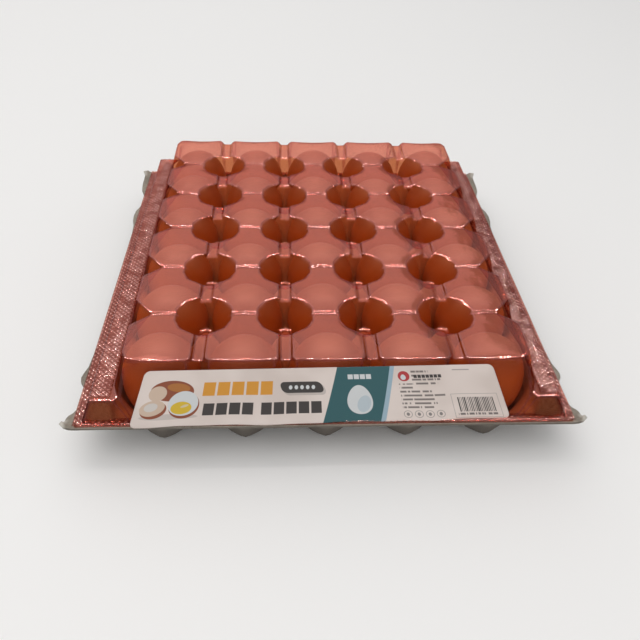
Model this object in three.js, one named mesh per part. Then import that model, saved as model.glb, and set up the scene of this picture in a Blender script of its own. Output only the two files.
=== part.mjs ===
// A tray of thirty eggs, five across and six deep: a moulded pulp tray, the eggs standing in its cups,
// a clear thermoformed cover whose rim lies on the tray's rim, and a paper label on the cover's front wall.
//
// Millimetres, +Z up. The origin is on the table under the middle of the pack, and the label faces -Y.
// Tray and cover are formed sheets. Each is drawn as polygons that share their corners, a quarter of a
// cell at a time, and is then thickened into one closed body.
import * as THREE from "three";

// --- Driving dimensions ---
const PITCH = 48; // between egg centres, both ways
const COLUMNS = 5;
const ROWS = 6;
const HEIGHT = 64; // table to the top of the cover
const RIM = 25.8; // top of the tray's rim
const CLEAR = 0.3; // gap between pieces that touch

const EGG_LENGTH = 59.2; // longest egg
const EGG_WIDTH = 45.2; // widest egg
const EGG_LENGTH_SPREAD = 2.0; // how much less the smallest may have
const EGG_WIDTH_SPREAD = 1.4;
const EGG_BLUNTNESS = 0.12; // how much wider the upper end is than the lower
const EGG_FLOOR = 3.0; // underside of the eggs
const EGG_RINGS = 7;
const EGG_SIDES = 12;

const PULP = 2.3; // wall of the tray
const POST_TOP = 46; // between four eggs
const RIDGE_TOP = 41; // along the tray's two sides
const TRAY_X = 148.6; // half sizes of the tray
const TRAY_Y = 152.4;
const RECESS = 6; // how far the tray's sides step in between its lugs
const CORNER_FOLD = 4.6; // size of the tray's turned up corners
const CORNER_CURL = 3.2; // how far they turn up
const CORNER_LEAN = 0.7; // how far their tips lean out

const FILM = 0.6; // wall of the cover
const FLANGE = RIM + CLEAR + FILM; // top of the cover's rim
const LEDGE = RIDGE_TOP + CLEAR + FILM + 0.1; // top of the cover's two side ledges, a little above the ridges
const COVER_X = 143; // half sizes of the cover's rim
const COVER_Y = 151.6;

const LABEL = 0.4; // thickness
const LABEL_TOP = { left: -100, right: 90.5 }; // ends of the label's top edge
const LABEL_FOOT = { left: -111, right: 105 }; // ends of its bottom edge

// --- Formed sheets ---

const IN_LINE = 0.01; // three corners that span less than this count as in line
const LEAST_SLANT = 0.5; // keeps a corner's step from growing where faces fold sharply

// Polygons that share their corners. Faces run counter-clockwise seen from above.
class Sheet {
  constructor() {
    this.corners = [];
    this.triangles = [];
    this.known = new Map();
  }

  corner(point) {
    const key = point.map((value) => Math.round(value * 1000)).join();
    if (!this.known.has(key)) {
      this.known.set(key, this.corners.length);
      this.corners.push(new THREE.Vector3(...point));
    }
    return this.known.get(key);
  }

  // A polygon, cut into triangles from its first corner.
  face(points) {
    const ids = points.map((point) => this.corner(point));
    for (let i = 1; i + 1 < ids.length; i++) {
      const triangle = [ids[0], ids[i], ids[i + 1]];
      if (new Set(triangle).size === 3) this.triangles.push(triangle);
    }
  }

  // The band between two lines that run the same way, the second on the right of the first.
  lace(left, right) {
    const start = left[0];
    const end = left[left.length - 1];
    const axis = Math.abs(end[0] - start[0]) > Math.abs(end[1] - start[1]) ? 0 : 1;
    const behind = (a, b) => (a[axis] - b[axis]) * Math.sign(end[axis] - start[axis]) < 0;
    const facesUp = ([a, b, c]) => (b[0] - a[0]) * (c[1] - a[1]) - (b[1] - a[1]) * (c[0] - a[0]) > IN_LINE;
    let i = 0;
    let j = 0;
    while (i + 1 < left.length || j + 1 < right.length) {
      const onLeft = i + 1 < left.length ? [left[i], right[j], left[i + 1]] : null;
      const onRight = j + 1 < right.length ? [left[i], right[j], right[j + 1]] : null;
      const canStepRight = onRight && facesUp(onRight);
      const stepRight = canStepRight && (!onLeft || !facesUp(onLeft) || behind(onRight[2], onLeft[2]));
      this.face(stepRight ? onRight : onLeft);
      if (stepRight) j++;
      else i++;
    }
  }

  // The closed body between this sheet, which is its upper side, and its copy one thickness below.
  solid(thickness) {
    const lower = this.corners.map(() => new THREE.Vector3());
    const flattest = this.corners.map(() => new THREE.Vector3(0, 0, -1));
    for (const triangle of this.triangles) {
      const [a, b, c] = triangle.map((id) => this.corners[id]);
      const normal = new THREE.Triangle(a, b, c).getNormal(new THREE.Vector3());
      triangle.forEach((id, k) => {
        const to = (other) => this.corners[triangle[(k + other) % 3]].clone().sub(this.corners[id]);
        lower[id].addScaledVector(normal, to(1).angleTo(to(2)));
        if (normal.z > flattest[id].z) flattest[id].copy(normal);
      });
    }
    // A corner moves far enough for the flattest face beside it to keep the full thickness.
    lower.forEach((inward, id) => {
      inward.normalize();
      const reach = Math.max(inward.dot(flattest[id]), LEAST_SLANT);
      inward.multiplyScalar(-thickness / reach).add(this.corners[id]);
    });

    const count = this.corners.length;
    const index = [];
    const edges = new Map();
    for (const [a, b, c] of this.triangles) {
      index.push(a, b, c, count + a, count + c, count + b);
      for (const [from, to] of [[a, b], [b, c], [c, a]]) edges.set(from + "," + to, [from, to]);
    }
    for (const [from, to] of edges.values()) {
      if (!edges.has(to + "," + from)) index.push(to, from, count + from, to, count + from, count + to);
    }
    const positions = [...this.corners, ...lower].flatMap((point) => point.toArray());
    const geometry = new THREE.BufferGeometry();
    geometry.setAttribute("position", new THREE.Float32BufferAttribute(positions, 3));
    geometry.setIndex(index);
    return geometry;
  }
}

// Calls draw once for each quarter of each cell. Its pen adds faces in the quarter's own u, v and z, with
// u and v from the cell's middle towards that quarter's corner, and outerX and outerY say which of the
// quarter's two far sides is the edge of the pack.
function drawQuarters(sheet, draw) {
  for (let column = 0; column < COLUMNS; column++) {
    for (let row = 0; row < ROWS; row++) {
      for (const [su, sv] of [[1, 1], [-1, 1], [-1, -1], [1, -1]]) {
        const x = (column - (COLUMNS - 1) / 2) * PITCH;
        const y = (row - (ROWS - 1) / 2) * PITCH;
        const place = ([u, v, z]) => [x + su * u, y + sv * v, z];
        const pen = (...points) => {
          const placed = points.map(place);
          sheet.face(su * sv > 0 ? placed : [placed[0], ...placed.slice(1).reverse()]);
        };
        const outerX = column === (su > 0 ? COLUMNS - 1 : 0);
        const outerY = row === (sv > 0 ? ROWS - 1 : 0);
        draw(pen, outerX, outerY);
      }
    }
  }
}

const HALF = PITCH / 2;

// --- Tray ---

// Places in a quarter of a cup, from its middle outwards.
const CUP = { floor: PULP, floorReach: 14.5, floorCorner: 9, wallHeight: 12, wallReach: 19.6, wallCorner: 12.6 };
const SADDLE = 26.2; // between two eggs
const SADDLE_RISE = { neck: 0.8, shoulder: 1.2, ridge: 0.6 }; // how much higher it is towards its ends
const SHOULDER = 8; // half length of a saddle
const NECK = 16; // where a post's foot faces the cup
const POST_HALF = 4.5; // half width of a post's top
const RIDGE = { inner: HALF + 1, crestInner: 25.4, crestOuter: 33, foot: 40.5, crestEnd: 25, footEnd: 27.4 };

function drawTrayQuarter(pen, outerX, outerY) {
  const saddleX = outerX ? RIM + SADDLE_RISE.ridge : SADDLE;
  const saddleY = outerY ? RIM : SADDLE;
  const neckZ = outerY ? RIM : SADDLE + SADDLE_RISE.neck;

  const floorX = [CUP.floorReach, 0, CUP.floor];
  const floorXY = [CUP.floorCorner, CUP.floorCorner, CUP.floor];
  const floorY = [0, CUP.floorReach, CUP.floor];
  const wallX = [CUP.wallReach, 0, CUP.wallHeight];
  const wallXY = [CUP.wallCorner, CUP.wallCorner, CUP.wallHeight];
  const wallY = [0, CUP.wallReach, CUP.wallHeight];
  const edgeX = [HALF, 0, saddleX];
  const shoulderX = [HALF, SHOULDER, outerX ? saddleX : SADDLE + SADDLE_RISE.shoulder];
  const neck = [NECK, NECK, neckZ];
  const shoulderY = [SHOULDER, HALF, outerY ? RIM : SADDLE + SADDLE_RISE.shoulder];
  const edgeY = [0, HALF, saddleY];

  pen([0, 0, CUP.floor], floorX, floorXY, floorY);
  pen(floorX, wallX, wallXY, floorXY);
  pen(floorXY, wallXY, wallY, floorY);
  pen(wallX, edgeX, shoulderX);
  pen(wallX, shoulderX, neck, wallXY);
  pen(wallXY, neck, shoulderY, wallY);
  pen(wallY, shoulderY, edgeY);

  const crestX = [RIDGE.crestInner, 0, RIDGE_TOP];
  const crestShoulder = [RIDGE.crestInner, SHOULDER, RIDGE_TOP];
  const ridgeFace = (corner, ...lowEdge) => {
    pen(edgeX, crestX, crestShoulder, shoulderX);
    pen(shoulderX, crestShoulder, corner, neck);
    pen(neck, corner, ...lowEdge);
  };
  const ridgeBack = (v) => {
    pen([RIDGE.crestOuter, 0, RIDGE_TOP], [RIDGE.crestOuter, v, RIDGE_TOP],
      [RIDGE.crestInner, v, RIDGE_TOP], crestShoulder, crestX);
  };
  const ridgeSlope = (crestEnd, footEnd) => {
    pen([RIDGE.crestOuter, 0, RIDGE_TOP], [RIDGE.foot, 0, RIM], [RIDGE.foot, footEnd, RIM],
      [RIDGE.crestOuter, crestEnd, RIDGE_TOP]);
  };

  if (outerX && outerY) {
    const foot = [HALF, HALF, RIM];
    const crestEnd = [RIDGE.crestInner, RIDGE.crestEnd, RIDGE_TOP];
    const footEnd = [RIDGE.inner, RIDGE.footEnd, RIM];
    ridgeFace(foot, shoulderY);
    pen(crestShoulder, crestEnd, foot);
    pen(foot, crestEnd, footEnd);
    ridgeBack(RIDGE.crestEnd);
    ridgeSlope(RIDGE.crestEnd, RIDGE.footEnd);
    pen(crestEnd, [RIDGE.crestOuter, RIDGE.crestEnd, RIDGE_TOP], [RIDGE.foot, RIDGE.footEnd, RIM], footEnd);
  } else if (outerX) {
    ridgeFace([RIDGE.crestInner, HALF, RIDGE_TOP], shoulderY);
    ridgeBack(HALF);
    ridgeSlope(HALF, HALF);
  } else if (outerY) {
    pen(shoulderX, [HALF, HALF, RIM], neck);
    pen(neck, [HALF, HALF, RIM], shoulderY);
  } else {
    const postX = [HALF, HALF - POST_HALF, POST_TOP];
    const postY = [HALF - POST_HALF, HALF, POST_TOP];
    pen(shoulderX, postX, neck);
    pen(neck, postX, postY);
    pen(neck, postY, shoulderY);
    pen(postX, [HALF, HALF, POST_TOP], postY);
  }
}

// The tray's outline on its right side, from front to back. Two lugs and the corners stand out of it.
function traySide() {
  const out = TRAY_X;
  const back = TRAY_X - RECESS;
  const ramp = 3; // length of the slope from a recess to a lug
  const lugs = [[-118, -98], [66, 92]]; // where each lug starts and ends
  const lugX = out - 1;
  const cornerEnds = [-136, 112]; // where the corners' full width ends
  const line = [[out, -RIDGE_END, RIM], [out, cornerEnds[0], RIM], [back, cornerEnds[0] + ramp, RIM]];
  for (const [from, to] of lugs) {
    line.push([back, from - ramp, RIM], [lugX, from, RIM], [lugX, to, RIM], [back, to + ramp, RIM]);
  }
  line.push([back, cornerEnds[1] - ramp, RIM], [out, cornerEnds[1], RIM], [out, RIDGE_END, RIM]);
  return line;
}

const FRONT_CELL_Y = ((ROWS - 1) / 2) * PITCH; // middle of the front and back rows
const SIDE_CELL_X = ((COLUMNS - 1) / 2) * PITCH;
const RIDGE_END = FRONT_CELL_Y + RIDGE.footEnd;
const RIDGE_FOOT = SIDE_CELL_X + RIDGE.foot;
const RIDGE_INNER = SIDE_CELL_X + RIDGE.inner;

function trayGeometry() {
  const sheet = new Sheet();
  drawQuarters(sheet, drawTrayQuarter);

  // Along the sides the rim runs from the ridge's foot to the outline.
  const foot = [-RIDGE_END];
  for (let row = 0; row < ROWS; row++) {
    const middle = (row - (ROWS - 1) / 2) * PITCH;
    foot.push(middle, ...(row + 1 < ROWS ? [middle + HALF] : []));
  }
  foot.push(RIDGE_END);
  const ridgeLine = foot.map((y) => [RIDGE_FOOT, y, RIM]);
  const side = traySide();
  const toLeft = ([x, y, z]) => [-x, y, z];
  sheet.lace(ridgeLine, side);
  sheet.lace(side.map(toLeft), ridgeLine.map(toLeft));

  // Across the front and back it runs from the cups and the ridges' ends.
  const edge = [[-RIDGE_FOOT, RIDGE_END, RIM], [-RIDGE_INNER, RIDGE_END, RIM]];
  const across = [];
  for (let column = 0; column < COLUMNS; column++) {
    const middle = (column - (COLUMNS - 1) / 2) * PITCH;
    for (const step of [-HALF, -SHOULDER, 0, SHOULDER]) across.push(middle + step);
  }
  across.push(SIDE_CELL_X + HALF);
  for (const x of across) edge.push([x, FRONT_CELL_Y + HALF, RIM]);
  edge.push([RIDGE_INNER, RIDGE_END, RIM], [RIDGE_FOOT, RIDGE_END, RIM]);
  const outer = [[-RIDGE_FOOT, TRAY_Y, RIM]];
  for (let column = 0; column <= COLUMNS; column++) outer.push([(column - COLUMNS / 2) * PITCH, TRAY_Y, RIM]);
  outer.push([RIDGE_FOOT, TRAY_Y, RIM]);
  const toFront = ([x, y, z]) => [x, -y, z];
  sheet.lace(outer, edge);
  sheet.lace(edge.map(toFront), outer.map(toFront));

  // The corners are flat under the cover's, and turn up outside them.
  for (const sx of [-1, 1]) {
    for (const sy of [-1, 1]) {
      const place = ([x, y, z]) => [sx * x, sy * y, z];
      const draw = (points) => sheet.face(sx * sy > 0 ? points.map(place) : points.map(place).reverse());
      const foldSide = [TRAY_X, RIDGE_END, RIM];
      const foldFront = [TRAY_X - CORNER_FOLD, TRAY_Y, RIM];
      draw([[RIDGE_FOOT, RIDGE_END, RIM], foldSide, foldFront, [RIDGE_FOOT, TRAY_Y, RIM]]);
      const tipSide = [TRAY_X + CORNER_LEAN, TRAY_Y - CORNER_FOLD / 2, RIM + CORNER_CURL];
      const tipFront = [TRAY_X - CORNER_FOLD / 2, TRAY_Y + CORNER_LEAN / 2, RIM + 0.7 * CORNER_CURL];
      draw([foldSide, tipSide, tipFront, foldFront]);
    }
  }
  return sheet.solid(PULP);
}

// --- Cover ---

const CHANNEL = { halfTop: 4, halfFloor: 2.8, depth: 2.6, mouth: 5.4 }; // between columns
const GROOVE = { halfTop: 1, depth: 1.5, half: 7 }; // between rows
const PIT = { corner: [10.6, 12.6], drop: 0.9, floor: 4.2, floorCorner: 3, depth: 17.2 }; // between four eggs
const DECK_EDGE = 17.5; // from the outer eggs' middles to the edge of the deck
const NOTCH_HALF = 12; // half width of the notches in the side walls
const WALL_FOOT_X = 23.6; // where the side walls meet the ledges
const WALL_FOOT_Y = 27.5; // where the front and back walls meet the rim
const STEP = { inner: 22.6, outer: 34, foot: 42, end: 26.5, footEnd: 29 }; // the side ledges
const CHANNEL_LIP = 2; // how far before the deck's edge a channel starts to drop
const DECK_ROUND = 7; // radius of the deck's corners
const CORNER = { sideFoot: 15, foot: [20.5, 23.5], frontFoot: 13.5, stepFoot: 14.2, cut: 2 }; // below them
const DECK = HEIGHT;

function drawCoverQuarter(pen, outerX, outerY) {
  const channelTop = HALF - CHANNEL.halfTop;
  const channelFloor = HALF - CHANNEL.halfFloor;
  const floorZ = DECK - CHANNEL.depth;
  const grooveZ = DECK - GROOVE.depth;
  const rimX = COVER_X - SIDE_CELL_X;
  const rimY = COVER_Y - FRONT_CELL_Y;

  const middle = [0, 0, DECK];
  const plateX = outerX ? [DECK_EDGE, 0, DECK] : [channelTop, 0, DECK];
  const plateY = outerY ? [0, DECK_EDGE, DECK] : [0, HALF - GROOVE.halfTop, DECK];
  const grooveEnd = [GROOVE.half, HALF - GROOVE.halfTop, DECK];
  const grooveFloorEnd = [GROOVE.half - 0.5, HALF, grooveZ];

  const drawGroove = () => pen(plateY, grooveEnd, grooveFloorEnd, [0, HALF, grooveZ]);
  const drawChannel = (v, endZ) => {
    pen(plateX, [channelFloor, 0, floorZ], [channelFloor, v, floorZ], [channelTop, v, endZ]);
    pen([channelFloor, 0, floorZ], [HALF, 0, floorZ], [HALF, v, floorZ], [channelFloor, v, floorZ]);
  };
  // The side wall's foot, then the ledge, its outer slope and the rim, between two places along it.
  const drawLedge = (inner, v0, v1) => {
    pen([inner, v0, LEDGE], [STEP.outer, v0, LEDGE], [STEP.outer, v1, LEDGE], [inner, v1, LEDGE]);
    drawSlope(v0, v1);
  };
  const drawSlope = (v0, v1) => {
    pen([STEP.outer, v0, LEDGE], [STEP.foot, v0, FLANGE], [STEP.foot, v1, FLANGE], [STEP.outer, v1, LEDGE]);
    pen([STEP.foot, v0, FLANGE], [rimX, v0, FLANGE], [rimX, v1, FLANGE], [STEP.foot, v1, FLANGE]);
  };
  const drawFrontRim = (u0, u1) => {
    pen([u0, WALL_FOOT_Y, FLANGE], [u1, WALL_FOOT_Y, FLANGE], [u1, rimY, FLANGE], [u0, rimY, FLANGE]);
  };

  if (!outerX && !outerY) {
    const mouth = [channelTop, CHANNEL.mouth, DECK - PIT.drop];
    const corner = [...PIT.corner, DECK - PIT.drop];
    const tongue = [channelFloor, CHANNEL.mouth, floorZ];
    const tongueMiddle = [HALF, CHANNEL.mouth, floorZ];
    const pitZ = DECK - PIT.depth;
    const floorX = [HALF - PIT.floor, HALF, pitZ];
    const floorXY = [HALF - PIT.floorCorner, HALF - PIT.floorCorner, pitZ];
    const floorY = [HALF, HALF - PIT.floor, pitZ];
    pen(middle, plateX, mouth, corner, grooveEnd, plateY);
    drawChannel(CHANNEL.mouth, DECK - PIT.drop);
    drawGroove();
    pen(grooveEnd, floorX, grooveFloorEnd);
    pen(grooveEnd, corner, floorXY, floorX);
    pen(corner, mouth, floorY, floorXY);
    pen(mouth, tongue, floorY);
    pen(tongue, tongueMiddle, floorY);
    pen(floorX, floorXY, floorY, [HALF, HALF, pitZ]);
  } else if (!outerY) {
    const notch = [DECK_EDGE, HALF - NOTCH_HALF, DECK];
    const foot = [WALL_FOOT_X, HALF - NOTCH_HALF / 2, LEDGE];
    pen(middle, plateX, notch, grooveEnd, plateY);
    drawGroove();
    pen(plateX, [WALL_FOOT_X, 0, LEDGE], foot, notch);
    pen(grooveEnd, notch, foot);
    pen(grooveEnd, foot, [WALL_FOOT_X, HALF, LEDGE], grooveFloorEnd);
    drawLedge(WALL_FOOT_X, 0, foot[1]);
    drawLedge(WALL_FOOT_X, foot[1], HALF);
  } else if (!outerX) {
    const lipV = DECK_EDGE - CHANNEL_LIP;
    const corner = [channelTop, lipV, DECK];
    const cornerEdge = [channelTop - CHANNEL_LIP, DECK_EDGE, DECK];
    const drop = [channelFloor, lipV, floorZ];
    const feet = [0, channelTop - CHANNEL_LIP, channelFloor, HALF].map((u) => [u, WALL_FOOT_Y, FLANGE]);
    pen(middle, plateX, corner, cornerEdge, plateY);
    drawChannel(lipV, DECK);
    pen(plateY, cornerEdge, feet[1], feet[0]);
    pen(cornerEdge, corner, drop, feet[2], feet[1]);
    pen(drop, [HALF, lipV, floorZ], feet[3], feet[2]);
    for (let i = 0; i < 3; i++) drawFrontRim(feet[i][0], feet[i + 1][0]);
  } else {
    // The deck's corner is round, and the ledge's end wraps round the foot of the wall there.
    const inset = DECK_ROUND * (1 - Math.SQRT1_2);
    const sideRound = [DECK_EDGE, DECK_EDGE - DECK_ROUND, DECK];
    const midRound = [DECK_EDGE - inset, DECK_EDGE - inset, DECK];
    const frontRound = [DECK_EDGE - DECK_ROUND, DECK_EDGE, DECK];
    const sideFoot = [WALL_FOOT_X, CORNER.sideFoot, LEDGE];
    const cornerFoot = [...CORNER.foot, LEDGE];
    const frontFoot = [CORNER.frontFoot, WALL_FOOT_Y, FLANGE];
    const endInner = [STEP.inner, STEP.end, LEDGE];
    const endOuter = [STEP.outer, STEP.end, LEDGE];
    const endFoot = [CORNER.stepFoot, STEP.footEnd, FLANGE];
    const outerFoot = [STEP.foot, STEP.footEnd, FLANGE];
    pen(middle, plateX, sideRound, midRound, frontRound, plateY);
    pen(plateX, [WALL_FOOT_X, 0, LEDGE], sideFoot, sideRound);
    pen(sideRound, sideFoot, cornerFoot, midRound);
    pen(midRound, cornerFoot, frontFoot, frontRound);
    pen(plateY, frontRound, frontFoot, [0, WALL_FOOT_Y, FLANGE]);
    drawLedge(WALL_FOOT_X, 0, sideFoot[1]);
    pen(sideFoot, [STEP.outer, sideFoot[1], LEDGE], endOuter, endInner, cornerFoot);
    pen(cornerFoot, endInner, endFoot, frontFoot);
    pen(endInner, endOuter, outerFoot, endFoot);
    pen([STEP.outer, sideFoot[1], LEDGE], [STEP.foot, sideFoot[1], FLANGE], outerFoot, endOuter);
    pen([STEP.foot, sideFoot[1], FLANGE], [rimX, sideFoot[1], FLANGE], [rimX, STEP.footEnd, FLANGE], outerFoot);
    const rimCorner = [rimX - CORNER.cut, rimY, FLANGE];
    const rimStep = [STEP.foot - CORNER.cut, rimY, FLANGE];
    const rimEnd = [CORNER.stepFoot, rimY, FLANGE];
    pen(outerFoot, [rimX, STEP.footEnd, FLANGE], rimCorner, rimStep);
    pen(outerFoot, rimStep, rimEnd, endFoot);
    pen(frontFoot, endFoot, rimEnd, [0, rimY, FLANGE], [0, WALL_FOOT_Y, FLANGE]);
  }
}

function coverGeometry() {
  const sheet = new Sheet();
  drawQuarters(sheet, drawCoverQuarter);
  return sheet.solid(FILM);
}

// --- Eggs ---

// An egg standing on its pointed end, from its bottom to its top.
function eggProfile(length, width) {
  const profile = [];
  for (let i = 0; i <= EGG_RINGS; i++) {
    const angle = (Math.PI * i) / EGG_RINGS;
    const radius = (width / 2) * Math.sin(angle) * (1 - EGG_BLUNTNESS * Math.cos(angle));
    const rise = (length / 2) * (1 - Math.cos(angle));
    profile.push(new THREE.Vector2(i % EGG_RINGS ? radius : 0, rise));
  }
  return profile;
}

// A repeatable number from 0 to 1 for each egg and each use.
function eggVariation(row, column, use) {
  const value = Math.sin(row * 12.9898 + column * 78.233 + use * 37.719) * 43758.5453;
  return value - Math.floor(value);
}

function makeEgg(row, column, material) {
  const length = EGG_LENGTH - EGG_LENGTH_SPREAD * eggVariation(row, column, 1);
  const width = EGG_WIDTH - EGG_WIDTH_SPREAD * eggVariation(row, column, 2);
  const geometry = new THREE.LatheGeometry(eggProfile(length, width), EGG_SIDES);
  geometry.rotateX(Math.PI / 2);
  const egg = new THREE.Mesh(geometry, material);
  egg.name = `egg_${row + 1}_${column + 1}`;
  egg.position.set((column - (COLUMNS - 1) / 2) * PITCH, (row - (ROWS - 1) / 2) * PITCH, EGG_FLOOR);
  return egg;
}

// --- Label ---

// The front wall of the cover, as its distance from the middle of the pack at a height.
function wallAt(z) {
  const share = (DECK - z) / (DECK - FLANGE);
  return FRONT_CELL_Y + DECK_EDGE + share * (WALL_FOOT_Y - DECK_EDGE);
}

// A sheet stuck to the wall along its top. Its foot stands off the wall, more so at its left end.
function labelGeometry() {
  const topZ = { left: 57.6, right: 60.2 };
  const footZ = FLANGE + 0.5;
  const footOut = { left: 5.4, right: 1.6 };
  const off = (CLEAR + LABEL) * 1.04; // measured level, so a little more than square to the slanted wall
  const columns = 8;
  const rows = 2;
  const mix = THREE.MathUtils.lerp;
  const point = (s, t) => {
    const z = mix(mix(topZ.left, topZ.right, s), footZ, t);
    const x = mix(mix(LABEL_TOP.left, LABEL_TOP.right, s), mix(LABEL_FOOT.left, LABEL_FOOT.right, s), t);
    const stand = mix(footOut.left, footOut.right, s) * t;
    return [x, -(wallAt(z) + off + stand), z];
  };
  const sheet = new Sheet();
  for (let i = 0; i < columns; i++) {
    for (let j = 0; j < rows; j++) {
      const [s0, s1] = [i / columns, (i + 1) / columns];
      const [t0, t1] = [j / rows, (j + 1) / rows];
      sheet.face([point(s0, t0), point(s0, t1), point(s1, t1), point(s1, t0)]);
    }
  }
  return sheet.solid(LABEL);
}

// --- Assembly ---

const pulp = new THREE.MeshStandardMaterial({ color: 0xa39a8c, roughness: 0.95, metalness: 0 });
const film = new THREE.MeshStandardMaterial({
  color: 0xd98f86, roughness: 0.12, metalness: 0, transparent: true, opacity: 0.4,
});
const shell = new THREE.MeshStandardMaterial({ color: 0xb86a43, roughness: 0.55, metalness: 0 });
const paper = new THREE.MeshStandardMaterial({ color: 0xd9d2cb, roughness: 0.45, metalness: 0 });

const pack = new THREE.Group();

function addPiece(name, geometry, material) {
  const mesh = new THREE.Mesh(geometry, material);
  mesh.name = name;
  pack.add(mesh);
}

addPiece("tray", trayGeometry(), pulp);
for (let row = 0; row < ROWS; row++) {
  for (let column = 0; column < COLUMNS; column++) pack.add(makeEgg(row, column, shell));
}
addPiece("cover", coverGeometry(), film);
addPiece("label", labelGeometry(), paper);

export default pack;
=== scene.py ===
"""Dresses a covered tray of eggs: moulded pulp tray, eggs, thermoformed film cover and paper label.

Everything is in metres in the model's own frame, with its origin on the table and the label facing -Y.
Sizes that belong to the formed sheets are written in millimetres, and MM turns them into metres.
"""

import logging
import math
import random
from collections.abc import Callable, Iterator, Sequence
from dataclasses import dataclass, field
from enum import Enum
from typing import Any

import bmesh
import bpy
from mathutils import Matrix, Vector


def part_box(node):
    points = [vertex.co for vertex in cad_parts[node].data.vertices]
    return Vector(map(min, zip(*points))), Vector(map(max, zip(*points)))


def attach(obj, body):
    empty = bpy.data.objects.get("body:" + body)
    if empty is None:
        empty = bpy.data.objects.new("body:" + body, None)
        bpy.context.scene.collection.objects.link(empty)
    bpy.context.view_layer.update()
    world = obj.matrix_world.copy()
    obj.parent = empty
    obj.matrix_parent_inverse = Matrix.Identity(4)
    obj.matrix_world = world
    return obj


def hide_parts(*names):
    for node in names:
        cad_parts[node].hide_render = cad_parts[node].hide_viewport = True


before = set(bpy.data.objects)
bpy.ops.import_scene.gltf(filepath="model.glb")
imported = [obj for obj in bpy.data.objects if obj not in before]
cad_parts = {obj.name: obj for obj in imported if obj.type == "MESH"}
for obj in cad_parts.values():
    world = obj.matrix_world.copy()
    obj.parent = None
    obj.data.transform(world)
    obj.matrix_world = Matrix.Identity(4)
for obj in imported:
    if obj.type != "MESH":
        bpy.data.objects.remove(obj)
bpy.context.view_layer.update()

MM = 0.001
TURNS = ((1, 1), (-1, 1), (-1, -1), (1, -1))  # towards a square's corners, counter-clockwise
Point = tuple[float, float, float]
Span = tuple[float, float]
Colour = tuple[float, float, float]
Pen = Callable[..., None]
Object = bpy.types.Object
Material = bpy.types.Material
Socket = bpy.types.NodeSocket
log = logging.getLogger("egg_tray")


# --- Node trees ---


class Value:
    """A number on a node's socket. Arithmetic on it adds Math nodes to its tree."""

    def __init__(self, graph: "Graph", socket: Socket) -> None:
        """Wraps a socket.

        Args:
            graph: The tree that the socket is in.
            socket: An output socket that holds a number.
        """
        self.graph = graph
        self.socket = socket

    def __add__(self, other: "Value | float") -> "Value":
        """self + other."""
        return self.graph.math("ADD", self, other)

    def __sub__(self, other: "Value | float") -> "Value":
        """self - other."""
        return self.graph.math("SUBTRACT", self, other)

    def __rsub__(self, other: "Value | float") -> "Value":
        """other - self."""
        return self.graph.math("SUBTRACT", other, self)

    def __mul__(self, other: "Value | float") -> "Value":
        """self * other."""
        return self.graph.math("MULTIPLY", self, other)

    def __truediv__(self, other: "Value | float") -> "Value":
        """self / other."""
        return self.graph.math("DIVIDE", self, other)

    def __abs__(self) -> "Value":
        """The distance from 0."""
        return self.graph.math("ABSOLUTE", self)

    def __pow__(self, other: "Value | float") -> "Value":
        """self to the power of other."""
        return self.graph.math("POWER", self, other)

    __radd__ = __add__

    def at_least(self, other: "Value | float") -> "Value":
        """The larger of the two."""
        return self.graph.math("MAXIMUM", self, other)

    def at_most(self, other: "Value | float") -> "Value":
        """The smaller of the two."""
        return self.graph.math("MINIMUM", self, other)

    def floor(self) -> "Value":
        """The whole number below."""
        return self.graph.math("FLOOR", self)

    def zigzag(self) -> "Value":
        """0 at every even whole number and 1 at every odd one, straight in between."""
        return self.graph.math("PINGPONG", self, 1.0)

    def rise(self, low: float, high: float) -> "Value":
        """0 below low, 1 above high and smooth in between. The two may be the other way round.

        Args:
            low: Where it starts to rise.
            high: Where it is 1.

        Returns:
            The mask.
        """
        inputs = {"Value": self, "From Min": min(low, high), "From Max": max(low, high)}
        risen = self.graph.value("ShaderNodeMapRange", inputs, interpolation_type="SMOOTHSTEP")
        return risen if low < high else 1.0 - risen


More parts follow.
